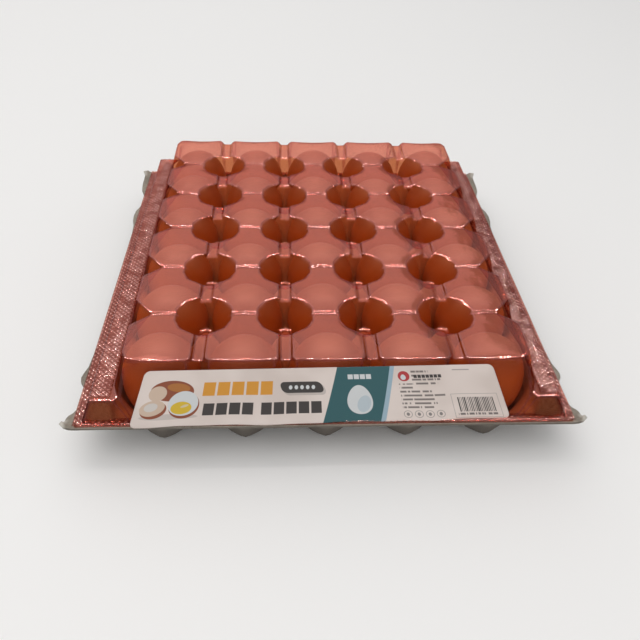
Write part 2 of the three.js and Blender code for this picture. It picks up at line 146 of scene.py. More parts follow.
class Graph:
    """A shader or geometry node tree, to which nodes are added by name."""

    def __init__(self, tree: bpy.types.NodeTree) -> None:
        """Wraps a tree."""
        self.tree = tree

    def node(self, kind: str, inputs: dict[str | int, Any] | None = None, **settings: Any) -> bpy.types.Node:
        """Adds a node.

        Args:
            kind: The node's type.
            inputs: A value, a socket or a Value for each input, by the input's name or number.
            settings: Its properties, which are set first.

        Returns:
            The node.
        """
        node = self.tree.nodes.new(kind)
        for name, setting in settings.items():
            setattr(node, name, setting)
        for name, given in (inputs or {}).items():
            socket = node.inputs[name]
            if isinstance(given, Value):
                given = given.socket
            if isinstance(given, Socket):
                self.tree.links.new(given, socket)
            else:
                socket.default_value = (*given, 1.0) if socket.type == "RGBA" else given
        return node

    def socket(self, kind: str, *inputs: Any, output: str | int = 0, **settings: Any) -> Socket:
        """Adds a node and picks one of its outputs.

        Args:
            kind: The node's type.
            inputs: Its inputs, if any, as one dictionary.
            output: The output's name or number.
            settings: Its properties.

        Returns:
            The output.
        """
        return self.node(kind, *inputs, **settings).outputs[output]

    def value(self, kind: str, *inputs: Any, **settings: Any) -> Value:
        """The number in the output that socket picks."""
        return Value(self, self.socket(kind, *inputs, **settings))

    def math(self, operation: str, *numbers: Value | float) -> Value:
        """Adds a Math node."""
        return self.value("ShaderNodeMath", dict(enumerate(numbers)), operation=operation)

    def coordinates(self, kind: str) -> Socket:
        """The texture coordinates of one kind: Object, Normal or UV."""
        return self.socket("ShaderNodeTexCoord", output=kind)

    def attribute(self, name: str) -> Value:
        """The number in a mesh's attribute."""
        return self.value("ShaderNodeAttribute", output="Fac", attribute_name=name)

    def split(self, vector: Socket) -> list[Value]:
        """The three parts of a vector."""
        return [Value(self, part) for part in self.node("ShaderNodeSeparateXYZ", {0: vector}).outputs]

    def vector(self, *parts: Value | float) -> Socket:
        """The vector that has these parts."""
        return self.socket("ShaderNodeCombineXYZ", dict(enumerate(parts)))

    def noise(self, position: Any, scale: float, detail: float = 2.0, roughness: float = 0.5) -> Value:
        """Adds a Noise texture.

        Args:
            position: Where it is read.
            scale: How many patches there are in a metre.
            detail: How many finer layers it has.
            roughness: How strong those are.

        Returns:
            A number around 0.5.
        """
        inputs = {"Vector": position, "Scale": scale, "Detail": detail, "Roughness": roughness}
        return self.value("ShaderNodeTexNoise", inputs)

    def colour(self, factor: Value | float, first: Any, second: Any) -> Socket:
        """Mixes two colours.

        Args:
            factor: How much of the second there is.
            first: A colour or a socket.
            second: A colour or a socket.

        Returns:
            The mixed colour.
        """
        return self.socket("ShaderNodeMix", {0: factor, 6: first, 7: second}, output=2, data_type="RGBA")

    def bump(self, height: Value, distance: float, strength: float) -> Socket:
        """Adds a Bump node.

        Args:
            height: 0 to 1 over the surface.
            distance: The height of 1 in metres.
            strength: How much of it is felt.

        Returns:
            The bent normal.
        """
        return self.socket("ShaderNodeBump", {"Height": height, "Distance": distance, "Strength": strength})

    def surface(self, shader: Socket) -> None:
        """Connects a shader to the material's output."""
        self.node("ShaderNodeOutputMaterial", {"Surface": shader})


def new_material(name: str) -> tuple[Material, Graph]:
    """Makes an empty node material.

    Args:
        name: The material's name.

    Returns:
        The material and its tree.
    """
    material = bpy.data.materials.new(name)
    material.use_nodes = True
    material.node_tree.nodes.clear()
    return material, Graph(material.node_tree)


class ShapeTree:
    """A Geometry Nodes tree with named inputs, which runs once on an object and leaves a plain mesh."""

    def __init__(self, name: str) -> None:
        """Makes an empty tree.

        Args:
            name: The tree's name.
        """
        self.tree = bpy.data.node_groups.new(name, "GeometryNodeTree")
        self.graph = Graph(self.tree)
        for way in ("INPUT", "OUTPUT"):
            self.tree.interface.new_socket("Geometry", in_out=way, socket_type="NodeSocketGeometry")
        self.entry = self.graph.node("NodeGroupInput")
        self.geometry = self.entry.outputs["Geometry"]
        self.position = self.graph.socket("GeometryNodeInputPosition")
        self.identifiers: dict[str, str] = {}

    def number(self, name: str, whole: bool = False) -> Value:
        """Adds a named input.

        Args:
            name: The input's name.
            whole: Whether it is a whole number.

        Returns:
            The input's value.
        """
        kind = "NodeSocketInt" if whole else "NodeSocketFloat"
        socket = self.tree.interface.new_socket(name, in_out="INPUT", socket_type=kind)
        self.identifiers[name] = socket.identifier
        return Value(self.graph, self.entry.outputs[name])

    def noise(self, seed: Value, scale: Value | float) -> Value:
        """Adds a Noise texture that is read at each point.

        Args:
            seed: Picks the pattern.
            scale: How many patches there are in a metre.

        Returns:
            A number around 0.5.
        """
        inputs = {"Vector": self.position, "W": seed, "Scale": scale, "Detail": 1.0}
        return self.graph.value("ShaderNodeTexNoise", inputs, noise_dimensions="4D")

    def press(self, sheet: Socket, fold: Value | Socket, offset: Socket) -> Socket:
        """Keeps the attribute fold and moves a sheet's points.

        Args:
            sheet: The sheet.
            fold: How sharply it counts as bent at each point, in radians.
            offset: The movement in metres.

        Returns:
            The moved sheet.
        """
        kept = {"Geometry": sheet, "Name": "fold", "Value": fold}
        marked = self.graph.socket("GeometryNodeStoreNamedAttribute", kept, data_type="FLOAT", domain="POINT")
        return self.graph.socket("GeometryNodeSetPosition", {"Geometry": marked, "Offset": offset})

    def finish(self, geometry: Socket, material: Material) -> None:
        """Ends the tree in Realize Instances and Set Material.

        Args:
            geometry: What the tree has made.
            material: What it is made of.
        """
        real = self.graph.socket("GeometryNodeRealizeInstances", {0: geometry})
        dressed = self.graph.socket("GeometryNodeSetMaterial", {"Geometry": real, "Material": material})
        self.graph.node("NodeGroupOutput", {0: dressed})

    def add_to(self, piece: Object, **sizes: float) -> None:
        """Adds the tree to an object as a modifier.

        Args:
            piece: The object.
            sizes: The named inputs, with _ for each space.
        """
        modifier = piece.modifiers.new(self.tree.name, "NODES")
        modifier.node_group = self.tree
        for name, size in sizes.items():
            modifier[self.identifiers[name.replace("_", " ")]] = size


# --- Pieces ---


def new_piece(name: str, mesh: bpy.types.Mesh) -> Object:
    """Puts a mesh in the scene at the origin.

    Args:
        name: The piece's name.
        mesh: Its mesh.

    Returns:
        The object.
    """
    piece = bpy.data.objects.new(name, mesh)
    bpy.context.scene.collection.objects.link(piece)
    return piece


def apply_modifiers(piece: Object) -> None:
    """Turns what the modifiers make into the object's own plain mesh.

    Args:
        piece: The object.
    """
    evaluated = piece.evaluated_get(bpy.context.evaluated_depsgraph_get())
    mesh = bpy.data.meshes.new_from_object(evaluated)
    finish = next(material for material in mesh.materials if material)
    mesh.materials.clear()
    mesh.materials.append(finish)
    mesh.polygons.foreach_set("material_index", [0] * len(mesh.polygons))
    piece.modifiers.clear()
    old = piece.data
    piece.data = mesh
    mesh.name = old.name
    bpy.data.meshes.remove(old)


def join_meshes(name: str, parts: Sequence[Object]) -> Object:
    """Makes one piece of several objects and removes them.

    Args:
        name: The new piece's name.
        parts: Objects with plain meshes of one material.

    Returns:
        The new piece.
    """
    joined = bmesh.new()
    material = parts[0].data.materials[0]
    for part in parts:
        joined.from_mesh(part.data)
        bpy.data.objects.remove(part)
    mesh = bpy.data.meshes.new(name)
    joined.to_mesh(mesh)
    joined.free()
    mesh.materials.append(material)
    return new_piece(name, mesh)


def hand_over(piece: Object, slot: str, *nodes: str) -> None:
    """Ties a finished piece to the model and reports it.

    Args:
        piece: The piece.
        slot: The name of its material slot, which is only logged.
        nodes: The CAD nodes that it stands for.
    """
    piece.data.shade_smooth()
    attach(piece, "root")
    if nodes:
        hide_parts(*nodes)
    log.info("%s: %d faces, slot %s", piece.name, len(piece.data.polygons), slot)


# --- The tray's layout ---


@dataclass(frozen=True)
class Quarter:
    """A quarter of an egg's cell, seen from its middle towards one corner of the cell."""

    x: float
    y: float
    turn_x: int
    turn_y: int
    outer_x: bool
    outer_y: bool

    def place(self, point: Point) -> Point:
        """Turns a place in the quarter's own directions into one in the pack's, in millimetres."""
        u, v, z = point
        return self.x + self.turn_x * u, self.y + self.turn_y * v, z


@dataclass(frozen=True)
class Layout:
    """The grid on which the eggs stand, in millimetres."""

    columns: int
    rows: int
    pitch: float

    @classmethod
    def from_frame(cls) -> "Layout":
        """Reads the grid from the names and places of the CAD eggs.

        Returns:
            The layout.
        """
        places = [name.split("_")[1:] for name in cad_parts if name.startswith("egg_")]
        rows = max(int(row) for row, column in places)
        columns = max(int(column) for row, column in places)
        first, last = (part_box(f"egg_1_{column}") for column in (1, columns))
        pitch = (last[0][0] + last[1][0] - first[0][0] - first[1][0]) / 2 / (columns - 1)
        return cls(columns, rows, pitch / MM)

    @property
    def half(self) -> float:
        """From the middle of a cell to its side."""
        return self.pitch / 2

    @property
    def side_x(self) -> float:
        """The middle of the last column."""
        return (self.columns - 1) / 2 * self.pitch

    @property
    def front_y(self) -> float:
        """The middle of the last row."""
        return (self.rows - 1) / 2 * self.pitch

    def column_x(self, column: int) -> float:
        """The middle of a column, the first being 0."""
        return column * self.pitch - self.side_x

    def row_y(self, row: int) -> float:
        """The middle of a row, the first being 0."""
        return row * self.pitch - self.front_y

    def quarters(self) -> Iterator[Quarter]:
        """Goes through the four quarters of each cell.

        Returns:
            The quarters, column by column.
        """
        for column in range(self.columns):
            for row in range(self.rows):
                for turn_x, turn_y in TURNS:
                    outer_x = column == (self.columns - 1 if turn_x > 0 else 0)
                    outer_y = row == (self.rows - 1 if turn_y > 0 else 0)
                    yield Quarter(self.column_x(column), self.row_y(row), turn_x, turn_y, outer_x, outer_y)


class Cage:
    """Polygons that share their corners, in millimetres. They run counter-clockwise seen from above."""

    def __init__(self) -> None:
        """Makes an empty cage."""
        self.corners: list[Point] = []
        self.faces: list[list[int]] = []
        self._known: dict[Point, int] = {}

    def corner(self, point: Point) -> int:
        """Finds or adds a corner.

        Args:
            point: Its place.

        Returns:
            Its number.
        """
        key = tuple(round(value, 3) for value in point)
        if key not in self._known:
            self._known[key] = len(self.corners)
            self.corners.append(point)
        return self._known[key]

    def face(self, *points: Point) -> None:
        """Adds a polygon."""
        self.faces.append([self.corner(point) for point in points])

    def pen(self, quarter: Quarter) -> Pen:
        """Makes a function that adds faces in a quarter's own directions.

        Args:
            quarter: The quarter.

        Returns:
            The function, which takes the face's corners.
        """

        def draw(*points: Point) -> None:
            """Adds a polygon, turned round where the quarter is a mirror image."""
            placed = [quarter.place(point) for point in points]
            self.face(*(placed if quarter.turn_x * quarter.turn_y > 0 else reversed(placed)))

        return draw

    def lace(self, left: Sequence[Point], right: Sequence[Point]) -> None:
        """Fills the band between two lines that run the same way.

        Args:
            left: The line on the left.
            right: The line on the right.
        """

        def faces_up(a: Point, b: Point, c: Point) -> bool:
            """Whether a triangle runs counter-clockwise seen from above and isn't a mere line."""
            return (b[0] - a[0]) * (c[1] - a[1]) - (b[1] - a[1]) * (c[0] - a[0]) > 0.01

        start, end = left[0], left[-1]
        axis = 0 if abs(end[0] - start[0]) > abs(end[1] - start[1]) else 1
        way = math.copysign(1, end[axis] - start[axis])
        i = j = 0
        while i + 1 < len(left) or j + 1 < len(right):
            on_left = i + 1 < len(left) and faces_up(left[i], right[j], left[i + 1])
            on_right = j + 1 < len(right) and faces_up(left[i], right[j], right[j + 1])
            if on_right and (not on_left or way * (right[j + 1][axis] - left[i + 1][axis]) < 0):
                self.face(left[i], right[j], right[j + 1])
                j += 1
            else:
                self.face(left[i], right[j], left[i + 1])
                i += 1

    def mesh(self, name: str, fold_radius: float, least_fold: float = 16.0) -> bpy.types.Mesh:
        """Makes a mesh in metres, whose folds are weighted for a Bevel modifier.

        Args:
            name: The mesh's name.
            fold_radius: The widest bevel in millimetres, which gets a weight of 1.
            least_fold: The flattest fold that is bevelled, in degrees.

        Returns:
            The mesh.
        """
        mesh = bpy.data.meshes.new(name)
        mesh.from_pydata([tuple(MM * value for value in corner) for corner in self.corners], [], self.faces)
        shape = bmesh.new()
        shape.from_mesh(mesh)
        weight = shape.edges.layers.float.new("bevel_weight_edge")
        longest_share = 0.36  # of the shortest edge at either end
        for edge in shape.edges:
            fold = math.degrees(edge.calc_face_angle()) if len(edge.link_faces) == 2 else 0.0
            if fold > least_fold:
                nearby = min(other.calc_length() for corner in edge.verts for other in corner.link_edges)
                edge[weight] = min(1.0, longest_share * nearby / (MM * fold_radius))
        shape.to_mesh(mesh)
        shape.free()
        return mesh


def thicken(piece: Object, thickness: float) -> None:
    """Gives a sheet its wall, below the side that is drawn.

    Args:
        piece: The piece.
        thickness: The wall in millimetres.
    """
    wall = piece.modifiers.new("wall", "SOLIDIFY")
    wall.thickness = thickness * MM
    wall.offset = -1.0


@dataclass(frozen=True)
class FormedSheet:
    """Makes a formed sheet of a cage: rounds its folds, makes it uneven and gives it its wall.

    The unevenness has a coarse and a fine size, each given as its height and its patches in a metre.
    """

    name: str
    wall: float
    bevel: float
    segments: int
    coarse: Span
    fine: Span
    seed: int

    def round_folds(self, piece: Object) -> None:
        """Rounds the cage's folds with Bevel and Subdivision Surface modifiers.

        Args:
            piece: The piece, whose mesh is a weighted cage.
        """
        bevel = piece.modifiers.new("folds", "BEVEL")
        bevel.limit_method = "WEIGHT"
        bevel.width = self.bevel * MM
        bevel.segments = self.segments
        bevel.use_clamp_overlap = False
        smooth = piece.modifiers.new("smooth", "SUBSURF")
        smooth.levels = smooth.render_levels = 1
        smooth.boundary_smooth = "PRESERVE_CORNERS"

    def tree(self, material: Material) -> ShapeTree:
        """Makes the tree that moves the points along their normals and keeps how sharply the sheet bends.

        Args:
            material: What the sheet is made of.

        Returns:
            The tree, with inputs Seed, Coarse height, Coarse scale, Fine height and Fine scale.
        """
        shape = ShapeTree(f"{self.name}_unevenness")
        graph = shape.graph
        seed = shape.number("Seed", whole=True)
        total: Value | float = 0.0
        for size in ("Coarse", "Fine"):
            noise = shape.noise(seed, shape.number(f"{size} scale"))
            total = total + (noise - 0.5) * 2.0 * shape.number(f"{size} height")
        normal = graph.socket("GeometryNodeInputNormal")
        offset = graph.socket("ShaderNodeVectorMath", {0: normal, "Scale": total}, operation="SCALE")
        bend = graph.socket("GeometryNodeInputMeshEdgeAngle")
        shape.finish(shape.press(shape.geometry, bend, offset), material)
        return shape

    def build(self, cage: Cage, material: Material) -> Object:
        """Makes the sheet.

        Args:
            cage: Its shape.
            material: What it is made of.

        Returns:
            The piece.
        """
        piece = new_piece(self.name, cage.mesh(self.name, self.bevel))
        self.round_folds(piece)
        self.tree(material).add_to(
            piece,
            Coarse_height=self.coarse[0] * MM,
            Coarse_scale=self.coarse[1],
            Fine_height=self.fine[0] * MM,
            Fine_scale=self.fine[1],
            Seed=self.seed,
        )
        thicken(piece, self.wall)
        apply_modifiers(piece)
        return piece


# --- Tray ---


@dataclass(frozen=True)
class PulpFinish:
    """Grey-beige moulded pulp with fibres, specks and a rough, matt face.

    Inside the cups, on faces that look up, the warm light that the eggs throw is painted into its colour.
    Painted shade darkens the rim's outer edge and the pulp below the rim, and it is pale on the worn
    corner tips. Each span gives where one of these starts and where it is full, in metres.
    """

    light: Colour = (0.40, 0.36, 0.30)
    dark: Colour = (0.22, 0.19, 0.155)
    # painted light: the warm light that the eggs throw into the cups
    painted_egg_light: Colour = (0.70, 0.46, 0.31)
    # painted shade for the rim's outer edge and the pulp below the rim
    shaded: Colour = (0.13, 0.115, 0.10)
    worn: Colour = (0.68, 0.65, 0.59)
    fleck: Colour = (0.10, 0.085, 0.07)
    roughness: float = 0.95
    inner_x: Span = (0.124, 0.118)
    inner_y: Span = (0.148, 0.142)
    tip_x: Span = (0.1452, 0.1482)
    tip_y: Span = (0.1435, 0.1475)
    rim_edge: Span = (0.028, 0.0265)
    rim_edge_shade: float = 0.72
    underside: Span = (0.021, 0.012)

    def build(self) -> Material:
        """Makes the material.

        Returns:
            The material.
        """
        material, graph = new_material("moulded_pulp")
        place = graph.coordinates("Object")
        fibres = graph.noise(place, 420, detail=4, roughness=0.65)
        clouds = graph.noise(place, 38, detail=3)
        specks = graph.noise(place, 900, detail=1).rise(0.68, 0.74)
        x, y, z = graph.split(place)
        upright = graph.split(graph.coordinates("Normal"))[2]
        upper = upright.rise(-0.05, 0.1)
        # where the eggs' warm light is painted: up-facing pulp inside the cups
        inside = abs(x).rise(*self.inner_x) * abs(y).rise(*self.inner_y) * upper
        tips = abs(x).rise(*self.tip_x) * abs(y).rise(*self.tip_y)
        # where shade is painted: the rim's outer edge and the faces below the rim
        edge = upright.rise(0.5, 0.15) * z.rise(*self.rim_edge) * self.rim_edge_shade
        painted_shade_mask = edge.at_least(z.rise(*self.underside) * (1.0 - upper))
        colour = graph.colour((fibres * 0.6 + clouds * 0.7 - 0.15).rise(0.25, 0.75), self.dark, self.light)
        colour = graph.colour(specks * 0.5, colour, self.fleck)
        # paints the eggs' warm light into the cups
        colour = graph.colour(inside * (0.7 + fibres * 0.4), colour, self.painted_egg_light)
        # paints shade on the rim's outer edge and below the rim
        colour = graph.colour(painted_shade_mask, colour, self.shaded)
        colour = graph.colour(tips * (0.55 + clouds * 0.6), colour, self.worn)
        coarse = fibres * 0.7 + graph.noise(place, 130) * 0.6
        graph.surface(graph.socket("ShaderNodeBsdfPrincipled", {
            "Base Color": colour,
            "Roughness": self.roughness,
            "Specular IOR Level": 0.2,
            "Normal": graph.bump(coarse, 0.0006, 0.8),
        }))
        return material


@dataclass
class PulpTray:
    """The moulded tray: cups, saddles, posts, a hollow ridge along each side and the rim.

    Lengths are in millimetres. Those of a cup are measured from its middle, and end_floor and end_wall
    are how far its floor and wall reach at the tray's front and back, straight and in their corners.
    """

    layout: Layout
    finish: PulpFinish = PulpFinish()
    sheet: FormedSheet = FormedSheet(
        "pulp_tray", wall=2.2, bevel=1.8, segments=1, coarse=(0.35, 28.0), fine=(0.18, 160.0), seed=3
    )
    rim: float = 25.8
    post_top: float = 46.0
    post_half: float = 4.5
    ridge_top: float = 41.0
    saddle: float = 26.2
    side_rise: float = 0.6
    neck_rise: float = 0.8
    shoulder_rise: float = 1.2
    shoulder: float = 8.0
    neck: float = 16.0
    floor_reach: Span = (14.5, 9.0)
    wall_reach: Span = (19.6, 12.6)
    end_floor: Span = (18.6, 12.0)
    end_wall: Span = (22.8, 15.0)
    wall_height: float = 12.0
    ridge_inner: float = 25.0
    crest_inner: float = 25.4
    crest_outer: float = 33.0
    ridge_foot: float = 40.5
    crest_end: float = 25.0
    foot_end: float = 27.4
    edge_x: float = 147.6
    edge_y: float = 151.2
    recess: float = 6.0
    ramp: float = 3.0
    fold: float = 4.6
    curl: float = 3.2
    tip_side: Span = (0.7, -2.2)
    tip_front: Span = (-2.0, 0.3)
    lugs: tuple[Span, ...] = ((-116.0, -107.0), (66.0, 88.0))
    lug_inset: float = 1.0
    corner_ends: Span = (-142.0, 116.0)

    def draw_cup(self, pen: Pen, outer_x: bool, outer_y: bool) -> None:
        """Draws a quarter of a cup and of what stands round it.

        Args:
            pen: Adds a face.
            outer_x: Whether the quarter is at the tray's left or right side.
            outer_y: Whether it is at the front or the back.
        """
        half = self.layout.half
        floor, wall = self.sheet.wall, self.wall_height
        (floor_to, floor_corner), (wall_to, wall_corner) = self.floor_reach, self.wall_reach
        end_floor, end_floor_corner = self.end_floor if outer_y else self.floor_reach
        end_wall, end_wall_corner = self.end_wall if outer_y else self.wall_reach
        floor_x = (floor_to, 0, floor)
        floor_xy = (floor_corner, end_floor_corner, floor)
        floor_y = (0, end_floor, floor)
        wall_x = (wall_to, 0, wall)
        wall_xy = (wall_corner, end_wall_corner, wall)
        wall_y = (0, end_wall, wall)
        side, shoulder_z = self.rim + self.side_rise, self.saddle + self.shoulder_rise
        edge_x = (half, 0, side if outer_x else self.saddle)
        shoulder_x = (half, self.shoulder, side if outer_x else shoulder_z)
        neck = (self.neck, self.neck, self.rim if outer_y else self.saddle + self.neck_rise)
        shoulder_y = (self.shoulder, half, self.rim if outer_y else shoulder_z)
        edge_y = (0, half, self.rim if outer_y else self.saddle)
        pen((0, 0, floor), floor_x, floor_xy, floor_y)
        pen(floor_x, wall_x, wall_xy, floor_xy)
        pen(floor_xy, wall_xy, wall_y, floor_y)
        pen(wall_x, edge_x, shoulder_x, wall_xy)
        pen(wall_xy, shoulder_x, neck)
        pen(wall_xy, neck, shoulder_y)
        pen(wall_xy, shoulder_y, edge_y, wall_y)
        if outer_x:
            self.draw_ridge(pen, outer_y, edge_x, shoulder_x, neck, shoulder_y)
        elif outer_y:
            pen(shoulder_x, (half, half, self.rim), neck)
            pen(neck, (half, half, self.rim), shoulder_y)
        else:
            post_x = (half, half - self.post_half, self.post_top)
            post_y = (half - self.post_half, half, self.post_top)
            pen(shoulder_x, post_x, neck)
            pen(neck, post_x, post_y)
            pen(neck, post_y, shoulder_y)
            pen(post_x, (half, half, self.post_top), post_y)

    def draw_ridge(self, pen: Pen, at_corner: bool, *cup: Point) -> None:
        """Draws the part of the side ridge beside a quarter of a cup.

        Args:
            pen: Adds a face.
            at_corner: Whether the ridge ends here.
            cup: The middle of the cup's edge beside the ridge, the end of its straight stretch, the
                cup's corner and the end of the saddle towards the next row.
        """
        edge_x, shoulder_x, neck, shoulder_y = cup
        half = self.layout.half
        top = self.ridge_top
        crest_end, foot_end = (self.crest_end, self.foot_end) if at_corner else (half, half)
        crest_x = (self.crest_inner, 0, top)
        crest_shoulder = (self.crest_inner, self.shoulder, top)
        inner_end = (self.crest_inner, crest_end, top)
        outer_end = (self.crest_outer, crest_end, top)
        outer_foot = (self.ridge_foot, foot_end, self.rim)
        pen(edge_x, crest_x, crest_shoulder, shoulder_x)
        pen(crest_x, (self.crest_outer, 0, top), outer_end, inner_end, crest_shoulder)
        pen((self.crest_outer, 0, top), (self.ridge_foot, 0, self.rim), outer_foot, outer_end)
        if at_corner:
            foot = (half, half, self.rim)
            inner_foot = (self.ridge_inner, foot_end, self.rim)
            pen(shoulder_x, crest_shoulder, foot, neck)
            pen(neck, foot, shoulder_y)
            pen(crest_shoulder, inner_end, foot)
            pen(foot, inner_end, inner_foot)
            pen(inner_end, outer_end, outer_foot, inner_foot)
        else:
            pen(shoulder_x, crest_shoulder, inner_end, neck)
            pen(neck, inner_end, shoulder_y)

    def side_line(self, ridge_end: float) -> list[Point]:
        """The outline of the tray's right side from front to back, with its lugs.

        Args:
            ridge_end: Where the side ends, as a distance from the middle.

        Returns:
            The outline's corners.
        """
        out, back, ramp = self.edge_x, self.edge_x - self.recess, self.ramp
        first, last = self.corner_ends
        line = [(out, -ridge_end), (out, first), (back, first + ramp)]
        for start, end in self.lugs:
            lug = out - self.lug_inset
            line += [(back, start - ramp), (lug, start), (lug, end), (back, end + ramp)]
        line += [(back, last - ramp), (out, last), (out, ridge_end)]
        return [(x, y, self.rim) for x, y in line]

    def draw_rim(self, cage: Cage) -> None:
        """Draws the rim round the cups and ridges.

        Args:
            cage: The tray's cage.
        """
        layout = self.layout
        foot_x = layout.side_x + self.ridge_foot
        inner_x = layout.side_x + self.ridge_inner
        ridge_end = layout.front_y + self.foot_end
        steps = [layout.row_y(row) + step for row in range(layout.rows) for step in (0, layout.half)]
        ridge_line = [(foot_x, y, self.rim) for y in (-ridge_end, *steps[:-1], ridge_end)]
        side = self.side_line(ridge_end)
        cage.lace(ridge_line, side)
        cage.lace([(-x, y, z) for x, y, z in side], [(-x, y, z) for x, y, z in ridge_line])

        cups_y = layout.front_y + layout.half
        edge = [(-foot_x, ridge_end), (-inner_x, ridge_end)]
        for column in range(layout.columns):
            middle = layout.column_x(column)
            edge += [(middle + step, cups_y) for step in (-layout.half, -self.shoulder, 0, self.shoulder)]
        edge += [(layout.side_x + layout.half, cups_y), (inner_x, ridge_end), (foot_x, ridge_end)]
        borders = [layout.column_x(column) - layout.half for column in range(layout.columns + 1)]
        outer = [(x, self.edge_y) for x in (-foot_x, *borders, foot_x)]
        cage.lace([(x, y, self.rim) for x, y in outer], [(x, y, self.rim) for x, y in edge])
        cage.lace([(x, -y, self.rim) for x, y in edge], [(x, -y, self.rim) for x, y in outer])

        for turn_x, turn_y in TURNS:
            pen = cage.pen(Quarter(0, 0, turn_x, turn_y, True, True))
            fold_side = (self.edge_x, ridge_end, self.rim)
            fold_front = (self.edge_x - self.fold, self.edge_y, self.rim)
            tips = [
                (self.edge_x + x, self.edge_y + y, self.rim + self.curl * share)
                for (x, y), share in ((self.tip_side, 1.0), (self.tip_front, 0.7))
            ]
            pen((foot_x, ridge_end, self.rim), fold_side, fold_front, (foot_x, self.edge_y, self.rim))
            pen(fold_side, *tips, fold_front)

    def build(self) -> None:
        """Makes the tray."""
        cage = Cage()
        for quarter in self.layout.quarters():
            self.draw_cup(cage.pen(quarter), quarter.outer_x, quarter.outer_y)
        self.draw_rim(cage)
        hand_over(self.sheet.build(cage, self.finish.build()), "pulp", "tray")


# --- Eggs ---


@dataclass(frozen=True)
class EggshellFinish:
    """Brown eggshell with fine pores, freckles and a different tone for each egg."""

    pale: Colour = (0.50, 0.29, 0.175)
    deep: Colour = (0.42, 0.20, 0.105)
    freckle: Colour = (0.30, 0.12, 0.055)
    # painted light: the deep warm colour that the light between the eggs, under the film, gives their lower
    # flanks
    painted_flank_light: Colour = (0.58, 0.26, 0.08)
    flank_light_z: Span = (0.058, 0.046)
    roughness: float = 0.46

    def build(self) -> Material:
        """Makes the material.

        Returns:
            The material.
        """
        material, graph = new_material("eggshell")
        place = graph.coordinates("Object")
        clouds = graph.noise(place, 55, detail=3)
        freckles = graph.noise(place, 520, roughness=0.6).rise(0.62, 0.74)
        # where that warm light is painted: 0 high on the egg, 1 lower down
        low = (graph.split(place)[2] + (clouds - 0.5) * 0.008).rise(*self.flank_light_z)
        tone = graph.attribute("tone") + (clouds - 0.5) * 0.5
        colour = graph.colour(tone.rise(-0.1, 1.1), self.pale, self.deep)
        colour = graph.colour(freckles * 0.35, colour, self.freckle)
        # paints the warm light between the eggs onto their lower flanks
        colour = graph.colour(low * 0.9, colour, self.painted_flank_light)
        pores = graph.noise(place, 1500) * 0.6 + graph.noise(place, 260, detail=1) * 0.6
        graph.surface(graph.socket("ShaderNodeBsdfPrincipled", {
            "Base Color": colour,
            "Roughness": self.roughness,
            "Normal": graph.bump(pores, 0.00012, 0.6),
        }))
        return material


@dataclass
class Eggs:
    """The eggs, each as long and wide as its CAD node, on its pointed end and a little aslant."""

    layout: Layout
    finish: EggshellFinish = EggshellFinish()
    bluntness: float = 0.12
    most_tilt: float = 5.0
    segments: int = 40
    rings: int = 26
    seed: int = 11

    def tree(self, material: Material) -> ShapeTree:
        """Makes the tree that puts an egg on each point.

        Args:
            material: The eggshell.

        Returns:
            The tree, with inputs Segments, Rings and Bluntness.
        """
        shape = ShapeTree("eggs_on_points")
        graph = shape.graph
        sphere = graph.socket("GeometryNodeMeshUVSphere", {
            "Segments": shape.number("Segments", whole=True),
            "Rings": shape.number("Rings", whole=True),
            "Radius": 1.0,
        })
        x, y, z = graph.split(shape.position)
        width = 1.0 + z * shape.number("Bluntness")
        egg = graph.socket("GeometryNodeSetPosition", {
            "Geometry": sphere,
            "Position": graph.vector(x * width, y * width, z),
        })
        size, tilt = (
            graph.socket("GeometryNodeInputNamedAttribute", {"Name": name}, data_type="FLOAT_VECTOR")
            for name in ("size", "tilt")
        )
        placed = graph.socket("GeometryNodeInstanceOnPoints", {
            "Points": shape.geometry,
            "Instance": egg,
            "Rotation": tilt,
            "Scale": size,
        })
        shape.finish(placed, material)
        return shape

    def build(self) -> None:
        """Makes the eggs as one piece."""
        draw = random.Random(self.seed)
        rows, columns = range(1, self.layout.rows + 1), range(1, self.layout.columns + 1)
        names = [f"egg_{row}_{column}" for row in rows for column in columns]
        most = math.radians(self.most_tilt)
        middles, sizes, tilts, tones = [], [], [], []
        for name in names:
            low, high = (Vector(corner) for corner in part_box(name))
            middles.append((low + high) / 2)
            sizes.append((high - low) / 2)
            tilts.append((draw.uniform(-most, most), draw.uniform(-most, most), draw.uniform(0, math.tau)))
            tones.append(draw.random())
        mesh = bpy.data.meshes.new("eggs")
        mesh.from_pydata(middles, [], [])
        for label, vectors in (("size", sizes), ("tilt", tilts)):
            attribute = mesh.attributes.new(label, "FLOAT_VECTOR", "POINT")
            attribute.data.foreach_set("vector", [value for vector in vectors for value in vector])
        mesh.attributes.new("tone", "FLOAT", "POINT").data.foreach_set("value", tones)
        piece = new_piece("eggs", mesh)
        tree = self.tree(self.finish.build())
        tree.add_to(piece, Segments=self.segments, Rings=self.rings, Bluntness=self.bluntness)
        apply_modifiers(piece)
        hand_over(piece, "eggshell", *names)


# --- Cover ---


